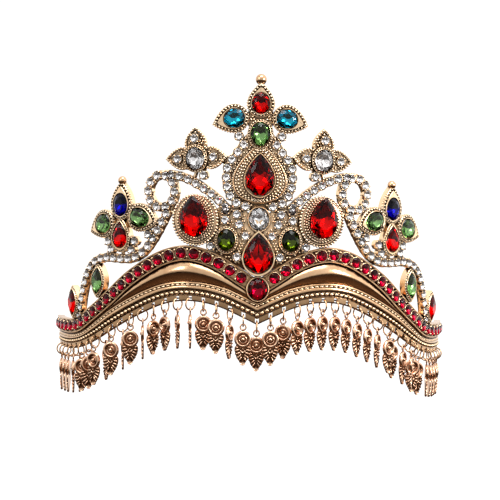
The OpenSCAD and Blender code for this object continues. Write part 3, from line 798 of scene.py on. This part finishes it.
# %% Beads of the band
ball = bmesh.new()
bmesh.ops.create_uvsphere(ball, u_segments=8, v_segments=6, radius=1.0)
bead = template("bead", ball)


def squashed(bench, x, y, z):
    return bench @ Matrix.Diagonal((x, y, z, 1))


def band_line(share):
    """The line at a share of the height between the rail's top and the leaf, unrolled, on the right half."""
    line = []
    for i in range(0, int(BAND_END * 2) + 1):
        a = i / 2
        _, top, foot, _, _ = band_heights(a)
        z = top + share * (foot - top)
        line.append((along(a, z), z))
    return line


def band_grains(share, pitch, size, over, slant):
    """Grains along the band, each of a size along, across and out, and turned by a slant in degrees."""
    return [squashed(on_crown(*rolled(p.x, p.y), over, way + slant), *size)
            for p, way in even(band_line(share), pitch, closed=False)]


def beads(name, benches, material):
    copies(name, bead, benches, [material])


def whole_row(grains):
    """The right half of a row of grains, mirrored. The first grain is on the middle line and stays single,
    and the last is left out, because it would reach past the band's end."""
    return both(grains[1:-1]) + grains[:1]


bead_row = whole_row(band_grains(0.2, 1.82, (0.82, 0.7, 0.6), 0.45, 22))
milled_row = whole_row(band_grains(0.755, 1.82, (0.86, 0.5, 0.34), 0.42, 0))
beads("band_beads", bead_row, cast_gold)
beads("band_milling", milled_row, cast_gold)
print("beads:", len(bead_row), "milled grains:", len(milled_row))

# %% [markdown]
# Each crimson stone stands in a thin round collet, and claws hold it: a bead of metal above and below each
# gap of the row.

# %% Collets and claws of the red row
CLAW_OUT, CLAW_SIZE = 1.3, (0.5, 0.5, 0.6)
COLLET_OVER, COLLET_GAP, COLLET_WIRE = 1.2, 0.1, 0.3
claws = []
for a, b in zip(row, row[1:]):
    m = (a + b) / 2
    for side in (-1, 1):
        z = wave(m, ROW) + side * CLAW_OUT * stretch(m, ROW)
        claws.append(squashed(on_crown(m, z, COLLET_OVER), *CLAW_SIZE))
beads("row_claws", both(claws), cast_gold)


def spun(name, bm, steps):
    """A small mesh from a section in the XZ plane that is spun about Z."""
    bmesh.ops.spin(bm, geom=bm.verts[:] + bm.edges[:], cent=(0, 0, 0), axis=(0, 0, 1), angle=math.tau,
                   steps=steps, use_merge=True)
    bmesh.ops.remove_doubles(bm, verts=bm.verts, dist=1e-4)
    return template(name, bm)


def wire_ring(name, radius, wire, steps, sides):
    bm = bmesh.new()
    bmesh.ops.create_circle(bm, segments=sides, radius=wire / 2,
                            matrix=Matrix.Translation((radius, 0, 0)) @ Matrix.Rotation(math.pi / 2, 4, "X"))
    return spun(name, bm, steps)


collet = wire_ring("collet", ROW_D / 2 + COLLET_GAP, COLLET_WIRE, 20, 6)
collet_benches = both([on_crown(a, wave(a, ROW), COLLET_OVER) for a in row])
copies("row_collets", collet, collet_benches, [cast_gold])

# %% [markdown]
# Settings: each main stone sits in a cup whose wall rises past its girdle. The wall is lofted from the back
# plate up the outside, over the rim and down into the pocket, so that one closed skin gives the plate, the
# rim and the seat. Pointed settings take the outline of a drop round an oval stone.

# %% Settings
SIDES = 40
POCKET_GAP = 0.1
# The settings reach a hair further back than the plates, so that no two faces lie in one plane
PLATE_BACK, SETTING_BACK, V_STONE_BACK, WEB_BACK = -0.8, -0.85, -1.2, -0.7
# Settings with a plain lip in place of beads, and how wide the lip is
PLAIN_RIMS = {"centre_oval": 0.6, "base_pear": 0.7, "v_stone": 0.6, "centre_pear": 0.45}


def seat(stone):
    """The bench at the foot of a stone's setting."""
    return on_crown(stone.angle, stone.z, 0, stone.turn)


def rim_outline(stone, wide=1.0):
    w, h = stone.width + 2 * wide, stone.length + 2 * wide
    if stone.point:
        return [(x, y + stone.point / 2) for x, y in pear(w * 1.12, h + stone.point, SIDES)]
    if stone.cut == "oval":
        return oval(w, h, SIDES)
    return CUTS[stone.cut](w, h + wide, SIDES)


def setting(bm, name, stone):
    pocket = CUTS[stone.cut](stone.width + 2 * POCKET_GAP, stone.length + 2.4 * POCKET_GAP, SIDES)
    over = stone.over
    top = over + 0.2
    shelf = over - 0.3
    back = V_STONE_BACK if name == "v_stone" else SETTING_BACK
    if name in PLAIN_RIMS:
        outer = rim_outline(stone, PLAIN_RIMS[name])
        rings = [(outer, back), (outer, over - 0.15), (grown(outer, -0.1), over + 0.08),
                 (grown(outer, -0.22), top), (grown(pocket, 0.1), top), (pocket, over + 0.05), (pocket, 0.0)]
    else:
        outer = rim_outline(stone)
        bezel = between(pocket, grown(outer, -1.05 if stone.point else -0.7), 0.9)
        rings = [(outer, back), (outer, shelf), (grown(outer, -0.06), shelf + 0.08),
                 (grown(outer, -0.18), shelf + 0.08), (grown(outer, -0.26), shelf - 0.3),
                 (grown(bezel, 0.06), shelf - 0.3), (bezel, top - 0.1), (grown(bezel, -0.08), top),
                 (grown(pocket, 0.04), top + 0.02), (pocket, over), (pocket, 0.0)]
    stack(bm, seat(stone), rings)


def in_pairs(bm):
    """Mirrors what is built so far to the other half."""
    bmesh.ops.mirror(bm, geom=bm.verts[:] + bm.edges[:] + bm.faces[:], axis="X", merge_dist=-1)


cups = bmesh.new()
for name, stone in PAIRED_STONES.items():
    if name != "side_pear":
        setting(cups, name, stone)
in_pairs(cups)
for name, stone in CENTRE_STONES.items():
    setting(cups, name, stone)
piece("settings", cups, [cast_gold], smooth=35)

# %% [markdown]
# The centre medallion is a drop-shaped plate bent with the crown. On it lies a smaller raised collar of
# granulation round the big pear. A flat plate would leave the band, so its outline is rolled onto the
# crown's surface point by point. Each has a pocket under the pear, so that its foil back stays free. The side
# collars, the field below, and the petals and hubs of the stars and flowers are small enough to stay flat.
# Thin bars join what would otherwise hang in the air.

# %% Medallion, collars and stars
PEAR_Z = CENTRE_STONES["centre_pear"].z
SIDE_PEAR = PAIRED_STONES["side_pear"]
STAR_AT = PAIRED_STONES["star"][:2]
MEDALLION_Z, COLLAR_Z, HUB_TOP = 68.4, 66.1, 84.4
MEDALLION_TOP, COLLAR_BACK, COLLAR_TOP, SIDE_COLLAR_TOP, LOW_TOP = 0.7, -0.4, 1.45, 1.4, 0.3
medallion_shape = pear(25.2, 30.8, 60, slim_drop)
collar_shape = pear(18.8, 20.6, 60, slim_drop)
pear_pocket = pear(10.2, 14.5, 60)
SIDE_COLLAR_AT = (16.8, 49.7)
side_collar_shape = oval(15.8, 17.2, 48)
FIELD_AT = (7.6, 45.6)
FIELD_SHAPE = [(-9.7, 4), (-3, 9.4), (2.6, 9.6), (7, 6.4), (8.6, 0), (7, -6), (2.5, -8), (-6, -13.2),
               (-9.7, -8)]
# Turn of each petal and its back. The backs differ, because the petals overlap at their roots.
STAR_PETALS = {-3: -0.8, 86: -0.78, -92: -0.76}
PETAL_LEN, PETAL_FROM = 8.8, 2.1
star_petal = pear(7.9, PETAL_LEN, 36, slim_drop)
STAR_WEB = [(-3.7, 4.0), (0, 4.6), (3.7, 4.0), (4.2, 0), (3.6, -3.9), (0, -4.6), (-3.6, -3.9), (-4.2, 0)]
# Columns: angle, height, diameter
HUBS = [(9.2, 70.3, 3.0), (39.4, 48.7, 8.0)]
# Columns: angle and height of one end, then of the other
STRUTS = [(25.2, 52.6, 22.2, 51.6), (29.2, 54.7, 30.4, 52.6), (39.4, 38.4, 39.4, 36),
          (16.8, 66.4, 17.6, 63.6), (39.4, 60.4, 39.4, 62.2)]
STRUT_R = 0.7


def petal_bench(turn):
    """A bench at the middle of a petal of the star."""
    return on_crown(*STAR_AT, 0, turn) @ Matrix.Translation((0, PETAL_FROM + PETAL_LEN / 2, 0))


def circle(radius, n, over=0.0):
    """The round section of a bar or wire, raised over its line."""
    turns = [math.tau * i / n for i in range(n)]
    return [(radius * math.cos(turn), over + radius * math.sin(turn)) for turn in turns]


plates = bmesh.new()
side_bench = on_crown(*SIDE_COLLAR_AT)
slab(plates, side_bench, side_collar_shape, PLATE_BACK, SIDE_COLLAR_TOP)
side_cup = pear(7.9, 11.6, 48)
stack(plates, seat(SIDE_PEAR), [
    (grown(side_cup, 0.1), 1.0), (side_cup, 2.9), (grown(side_cup, -0.12), 3.1), (grown(side_cup, -0.5), 3.1),
    (grown(side_cup, -0.8), 1.2)])
slab(plates, on_crown(*FIELD_AT), FIELD_SHAPE, PLATE_BACK, LOW_TOP)
slab(plates, on_crown(*STAR_AT), STAR_WEB, WEB_BACK, LOW_TOP)
for turn, back in STAR_PETALS.items():
    stack(plates, petal_bench(turn), [
        (star_petal, back), (star_petal, LOW_TOP), (grown(star_petal, -0.15), 0.5),
        (grown(star_petal, -0.75), 0.5), (grown(star_petal, -0.95), 0.1)])
for a, z, d in HUBS:
    slab(plates, on_crown(a, z), oval(d, d, 16), WEB_BACK, 0.1)
for a0, z0, a1, z1 in STRUTS:
    bar = [at(a0, z0), at(a1, z1)]
    out = at(a0, z0, 1) - at(a0, z0)
    side = (bar[1] - bar[0]).normalized().cross(out).normalized()
    loft(plates, [[p + side * x + out.normalized() * y for x, y in circle(STRUT_R, 10)] for p in bar])
in_pairs(plates)
for outline, z, low, high in ((medallion_shape, MEDALLION_Z, PLATE_BACK, MEDALLION_TOP),
                              (collar_shape, COLLAR_Z, COLLAR_BACK, COLLAR_TOP)):
    pocket = [(x, y + PEAR_Z - z) for x, y in pear_pocket]
    rings = rounded(outline, low, high, 0.3) + [(pocket, high), (pocket, 0.05)]
    loft(plates, [[at(*rolled(x, z + y), over) for x, y in points] for points, over in rings])
slab(plates, on_crown(0, HUB_TOP), oval(9.6, 9.6, 24), WEB_BACK, 0.4)
piece("plates", plates, [cast_gold], smooth=38)

# %% [markdown]
# The scrolls are narrow strips with rounded edges. Their section is set square to the line at each station
# and lofted along it, as the band is. The ring of the scroll closes on itself.

# %% Scroll strips
def strip_ring(line, i, section, closed):
    n = len(line)
    before = line[(i - 1) % n if closed else max(i - 1, 0)]
    after = line[(i + 1) % n if closed else min(i + 1, n - 1)]
    a = math.radians(line[i][0])
    out = Vector((math.sin(a), -math.cos(a), 0))
    run = at(*after) - at(*before)
    run -= run.dot(out) * out
    across = run.cross(out).normalized()
    return [at(*line[i]) + across * x + out * y for x, y in section]


STRIP_SECTION = [(1.55, -0.8), (1.62, -0.1), (1.5, 0.3), (1.25, 0.45), (-1.25, 0.45), (-1.5, 0.3),
                 (-1.62, -0.1), (-1.55, -0.8)]
strips = bmesh.new()
for line in (top_line, stem_line):
    loft(strips, [strip_ring(line, i, STRIP_SECTION, False) for i in range(len(line))])
loft(strips, [strip_ring(loop_line, i, STRIP_SECTION, True) for i in range(len(loop_line))], closed=True)
in_pairs(strips)
piece("scroll_strips", strips, [cast_gold], smooth=38)

# %% [markdown]
# Every small clear stone sits in a round cup with four claws bent over its edge. The cup is a short turned
# wall, spun from its profile.

# %% Cups and claws of the clear stones
def lathe(name, profile, steps):
    """A turned shape, from its profile of radius and height."""
    bm = bmesh.new()
    points = [bm.verts.new((r, 0, z)) for r, z in profile]
    for pair in zip(points, points[1:]):
        bm.edges.new(pair)
    return spun(name, bm, steps)


cup = lathe("clear stone's cup", [(0, 0.35), (1.2, 0.35), (1.42, 0.85), (1.55, 1.25), (1.68, 1.25),
                                  (1.75, 0.9), (1.72, -0.75), (0, -0.75)], 14)
CUP_CLAW_AT, CUP_CLAW_OVER, CUP_CLAW_SIZE = 1.52, 1.4, (0.37, 0.37, 0.45)
all_clear = [(a, z, 45.0) for a, z in FIELD + SPRIGS] + [(a, z, way + 45) for a, z, way in scroll_spots]
copies("clear_cups", cup, both([on_crown(a, z) for a, z, _ in all_clear]), [cast_gold], smooth=45)
cup_claws = []
for a, z, way in all_clear:
    for quarter in range(4):
        bench = on_crown(a, z, CUP_CLAW_OVER, way + 90 * quarter) @ Matrix.Translation((CUP_CLAW_AT, 0, 0))
        cup_claws.append(squashed(bench, *CUP_CLAW_SIZE))
beads("clear_claws", both(cup_claws), cast_gold)
print("small clear stones in cups:", 2 * len(all_clear))

# %% [markdown]
# Granulation: rows of tiny grains follow the rims of the settings, fill the collars and cover the field
# between the clear stones. Rows are laid at equal steps along an outline. In the field the grains lie on a
# staggered grid, and those that would run into a stone or a rim are left out.

# %% Granulation
def outline_grains(bench, points, pitch, radius, z):
    """Round grains along an outline at a height over a bench."""
    return [squashed(bench @ Matrix.Translation((p.x, p.y, z)), radius, radius, radius)
            for p, _ in even(points, pitch)]


def rim_row(stone):
    inset, pitch, radius = (-0.6, 1.15, 0.42) if stone.point else (-0.46, 0.9, 0.32)
    outer = rim_outline(stone)
    grains = outline_grains(seat(stone), grown(outer, inset), pitch, radius, stone.over - 0.32)
    if stone.point:
        grains += outline_grains(seat(stone), outer, 0.95, 0.3, stone.over - 0.75)
    return grains


rim_grains = []
for name, stone in PAIRED_STONES.items():
    if name != "side_pear":
        rim_grains += both(rim_row(stone))
for name, stone in CENTRE_STONES.items():
    if name not in PLAIN_RIMS:
        rim_grains += rim_row(stone)
beads("rim_grains", rim_grains, bright_gold)

COLLAR_GRAINS_OVER = 1.5
# Columns: share of the way from the stone to the collar's edge, radius, pitch
SIDE_ROWS = [(0.06, 0.36, 0.85), (0.3, 0.42, 0.95), (0.55, 0.45, 1.0), (0.98, 0.5, 1.1)]
COLLAR_ROWS = [(0.02, 0.42, 1.05), (0.33, 0.5, 1.2), (0.62, 0.42, 1.05), (0.97, 0.3, 0.8)]
side_shift = along(SIDE_PEAR.angle - SIDE_COLLAR_AT[0], SIDE_PEAR.z)
side_inner = [(x + side_shift, y + SIDE_PEAR.z - SIDE_COLLAR_AT[1]) for x, y in grown(pear(10, 14, 48), -0.6)]
inner = [(x, y + PEAR_Z - COLLAR_Z) for x, y in pear(11.8, 16.4, 60)]
collar_grains = []
for share, radius, pitch in SIDE_ROWS:
    line = between(side_inner, side_collar_shape, share)
    collar_grains += both(outline_grains(side_bench, line, pitch, radius, COLLAR_GRAINS_OVER))
for share, radius, pitch in COLLAR_ROWS:
    for p, _ in even(between(inner, grown(collar_shape, -0.1), share), pitch):
        bench = on_crown(*rolled(p.x, COLLAR_Z + p.y), COLLAR_GRAINS_OVER)
        collar_grains.append(squashed(bench, radius, radius, radius))
for turn in STAR_PETALS:
    collar_grains += both(outline_grains(petal_bench(turn), grown(star_petal, -0.35), 1.05, 0.43, 0.55))
beads("collar_grains", collar_grains, bright_gold)


def inside(point, polygon):
    hit = False
    for (x0, y0), (x1, y1) in zip(polygon, polygon[1:] + polygon[:1]):
        if (y0 > point[1]) != (y1 > point[1]) and point[0] < (x1 - x0) * (point[1] - y0) / (y1 - y0) + x0:
            hit = not hit
    return hit


def on_plane(points, angle, z, turn=0.0):
    """The outline of a bench on the crown's unrolled surface."""
    c, d = math.cos(math.radians(turn)), math.sin(math.radians(turn))
    return [(along(angle, z) + x * c - y * d, z + x * d + y * c) for x, y in points]


GRAIN_GAP, HIGH_GROUND, LOW_GROUND = 0.3, 0.75, 0.35
keep_out = [on_plane(grown(rim_outline(stone), 0.35), stone.angle, stone.z, stone.turn)
            for stone in list(PAIRED_STONES.values()) + list(CENTRE_STONES.values())]
keep_out += [on_plane(grown(side_collar_shape, GRAIN_GAP), *SIDE_COLLAR_AT),
             on_plane(grown(collar_shape, GRAIN_GAP), 0, COLLAR_Z)]
keep_out += [on_plane(oval(3.9, 3.9, 16), a, z) for a, z, _ in all_clear]
high_grounds = [on_plane(grown(medallion_shape, -0.3), 0, MEDALLION_Z), on_plane(oval(9, 9, 24), 0, HUB_TOP)]
low_grounds = [on_plane(FIELD_SHAPE, *FIELD_AT)]
for turn in STAR_PETALS:
    petal = [(x, y + PETAL_FROM + PETAL_LEN / 2) for x, y in grown(star_petal, -1.0)]
    low_grounds.append(on_plane(petal, *STAR_AT, turn))


def grain_height(s, z):
    """How far the plate under a grain stands out at an unrolled place, or 0 where no grain is laid."""
    def in_any(shapes):
        return any(inside((s, z), shape) for shape in shapes)

    angle = rolled(s, z)[0]
    if z < wave(angle, ROW) + CHANNEL_H / 2 * stretch(angle, ROW) + GRAIN_GAP or in_any(keep_out):
        return 0
    return HIGH_GROUND if in_any(high_grounds) else LOW_GROUND if in_any(low_grounds) else 0


GRAIN_STEP, GRAIN_R = 1.08, 0.47
# Height of the equal triangles of the staggered grid
ROW_STEP = GRAIN_STEP * 0.866
GRID_FOOT, GRID_ROWS, GRID_COLUMNS = 28, int(60 / ROW_STEP), 28
field_grains = []
for j in range(GRID_ROWS):
    z = GRID_FOOT + j * ROW_STEP
    for i in range(GRID_COLUMNS):
        s = (i + (j % 2) / 2) * GRAIN_STEP
        if over := grain_height(s, z):
            spot = squashed(on_crown(*rolled(s, z), over), GRAIN_R, GRAIN_R, GRAIN_R)
            field_grains += [spot] if s == 0 else both([spot])
beads("field_grains", field_grains, bright_gold)
print("grains:", len(rim_grains) + len(collar_grains) + len(field_grains))

# %% [markdown]
# Polished balls finish the crown: a large one on top and one on each flower. Rings of thin round wire part
# the rows of granulation on the collars.

# %% Balls and wires
FLOWER_BALL, FLOWER_BALL_AT = 1.5, (39.4, 62.5, 0.9)
TOP_BALL, TOP_BALL_AT = 1.9, (0, 97.6)
# Columns: share of the way from the stone to the collar's edge, radius
SIDE_WIRES = [(0.42, 0.2), (0.76, 0.3)]
balls = bmesh.new()
bmesh.ops.create_uvsphere(balls, u_segments=24, v_segments=16, radius=FLOWER_BALL,
                          matrix=on_crown(*FLOWER_BALL_AT))
in_pairs(balls)
bmesh.ops.create_uvsphere(balls, u_segments=32, v_segments=20, radius=TOP_BALL, matrix=on_crown(*TOP_BALL_AT))


def wire(bm, line, radius, over):
    """A closed round wire that follows an unrolled outline."""
    spots = [rolled(p.x, p.y) for p, _ in even(line, 0.8)]
    section = circle(radius, 8, over)
    loft(bm, [strip_ring(spots, i, section, True) for i in range(len(spots))], closed=True)


wire(balls, on_plane(between(inner, collar_shape, 0.83), 0, COLLAR_Z), 0.28, 1.6)
side_wires = bmesh.new()
for share, radius in SIDE_WIRES:
    line = between(side_inner, side_collar_shape, share)
    wire(side_wires, on_plane(line, *SIDE_COLLAR_AT), radius, SIDE_COLLAR_TOP + 0.05)
in_pairs(side_wires)
piece("collar_wires", side_wires, [bright_gold], smooth=60)
piece("balls_and_wires", balls, [buffed_gold], smooth=60)

# %% [markdown]
# The fringe: jump rings of round wire pass through the rail's holes, and each carries one stamped drop. A
# drop has a bail, a dished boss with a ball in its middle, a leaf whose ribs fan out from its spine, and a
# small dish at the tip. The boss and the dish are turned, the bail is a spun circle and each rib is a
# stretched bead.

# %% Jump rings
RING_R, RING_WIRE, BAIL_R, BAIL_WIRE, BOSS_D = 2.05, 0.54, 0.98, 0.56, 6.0
BAIL_Z = (RING_WIRE + BAIL_WIRE) / 2 + 0.2 - BAIL_R
BOSS_Z = -BAIL_R - BAIL_WIRE / 2 - BOSS_D / 2 + 0.1
# A ring turns by this share of its drop's turn
RING_SHARE = 0.44
# Turn of each drop about its own height and lean of its ring out from the rail, from the front outwards
HANG_LEFT = [(4, 15), (73, 0), (11, 10), (18, -5), (-70, 0), (-58, 0), (-28, 5), (73, 0), (-57, -5),
             (36, 10), (-50, -10), (26, 10), (-20, -15), (13, 15), (60, 0), (38, 5), (-28, -15), (-18, -5),
             (-28, 0), (-24, 0), (-20, 5)]
HANG_RIGHT = [(-4, 15), (-24, -15), (31, 10), (29, 5), (32, 0), (24, 0), (26, 0), (26, 0), (25, 0), (30, 0),
              (4, 15), (-1, -15), (14, 5), (25, 15), (-30, -15), (-20, -15), (24, 10), (32, 5), (24, 5),
              (32, 0), (18, 5)]
HANG = list(reversed(HANG_LEFT)) + [(0, -15)] + HANG_RIGHT

hole_benches = [on_crown(a, wave(a, RAIL) + HOLE_HEIGHT * stretch(a, RAIL), 0.05)
                for a in (i * DROP_STEP for i in range(-DROPS, DROPS + 1))]
ring_benches = [bench @ Matrix.Rotation(math.radians(-lean), 4, "X") @ Matrix.Translation((0, -RING_R, 0))
                @ Matrix.Rotation(math.radians(90 + RING_SHARE * turn), 4, "Y")
                for bench, (turn, lean) in zip(hole_benches, HANG)]
jump_ring = wire_ring("jump ring", RING_R, RING_WIRE, 28, 8)
copies("jump_rings_wire", jump_ring, ring_benches, [buffed_gold], ("jump_rings",))

# %% Drops
boss = lathe("drop's boss", [(0, -0.5), (2.75, -0.5), (2.96, -0.3), (3.0, 0.05), (2.9, 0.35), (2.7, 0.52),
                             (2.4, 0.6), (2.15, 0.58), (1.98, 0.4), (1.9, 0.1), (1.75, 0.0), (1.6, 0.05),
                             (1.45, 0.28), (1.25, 0.4), (1.05, 0.3), (0.92, 0.08), (0.8, 0.1), (0.7, 0.45),
                             (0.5, 0.78), (0.25, 0.93), (0, 0.98)], 28)
bail = wire_ring("drop's bail", BAIL_R, BAIL_WIRE, 18, 8)
dish = lathe("drop's dish", [(0, 0.1), (0.35, 0.07), (0.62, 0.1), (0.76, 0.24), (0.88, 0.28), (0.98, 0.12),
                             (0.98, -0.4), (0, -0.4)], 16)
DISH_Y = -8.05
LEAF_BACK, LEAF_TOP = -0.5, -0.12
KNOB_AT, KNOB_SIZE = (0, -3.3, -0.05), (0.36, 0.36, 0.45)
RIB_ACROSS, RIB_OUT, RIB_Z = 0.34, 0.5, -0.02
# Columns: half width, distance below the boss's middle
LEAF = [(2.0, 1.8), (2.75, 2.7), (2.85, 3.5), (2.7, 4.4), (2.4, 5.5), (1.85, 6.7), (1.25, 7.6), (0.85, 8.3),
        (0.5, 8.75)]
# Tip and root of each rib on the right: four fan out downwards, one crosses its twin at the spine, and one is
# an arm above them
RIBS = [((3.0, -3.95), (0.75, -3.5)), ((2.8, -5.25), (0.55, -4.35)), ((2.2, -6.6), (0.35, -5.05)),
        ((1.35, -7.55), (0.25, -5.7)), ((1.0, -3.6), (-0.15, -5.0)), ((2.7, -2.75), (1.3, -2.75))]

drop = bmesh.new()
body = Matrix.Translation((0, BOSS_Z, 0))
scatter(drop, bail, [Matrix()])
scatter(drop, boss, [body])
scatter(drop, dish, [body @ Matrix.Translation((0, DISH_Y, 0))])
faces_before = len(drop.faces)
leaf_shape = [(x, -y) for x, y in LEAF] + [(-x, -y) for x, y in reversed(LEAF)]
slab(drop, body, leaf_shape, LEAF_BACK, LEAF_TOP, 0.1)
# The leaf's front between the ribs takes the dark brown material
for face in drop.faces[faces_before:]:
    face.normal_update()
    in_front = face.calc_center_median().z > (LEAF_BACK + LEAF_TOP) / 2
    face.material_index = 1 if in_front and abs(face.normal.z) > 0.5 else 0
ribs = [squashed(body @ Matrix.Translation(KNOB_AT), *KNOB_SIZE)]
for (tx, ty), (rx, ry) in RIBS:
    for side in (-1, 1):
        way = math.atan2(ty - ry, side * (tx - rx))
        middle = body @ Matrix.Translation((side * (tx + rx) / 2, (ty + ry) / 2, RIB_Z))
        reach = math.hypot(tx - rx, ty - ry) / 2
        ribs.append(squashed(middle @ Matrix.Rotation(way, 4, "Z"), reach, RIB_ACROSS, RIB_OUT))
scatter(drop, bead, ribs)

drop_benches = []
for bench, (turn, lean) in zip(hole_benches, HANG):
    lean = math.radians(lean)
    foot = (0, BAIL_Z - 2 * RING_R * math.cos(lean), 2 * RING_R * math.sin(lean))
    drop_benches.append(bench @ Matrix.Translation(foot) @ Matrix.Rotation(math.radians(turn), 4, "Y"))
copies("drops_cast", template("drop", drop), drop_benches, [rose_gold, flute_brown],
       ("drops",), smooth=50)
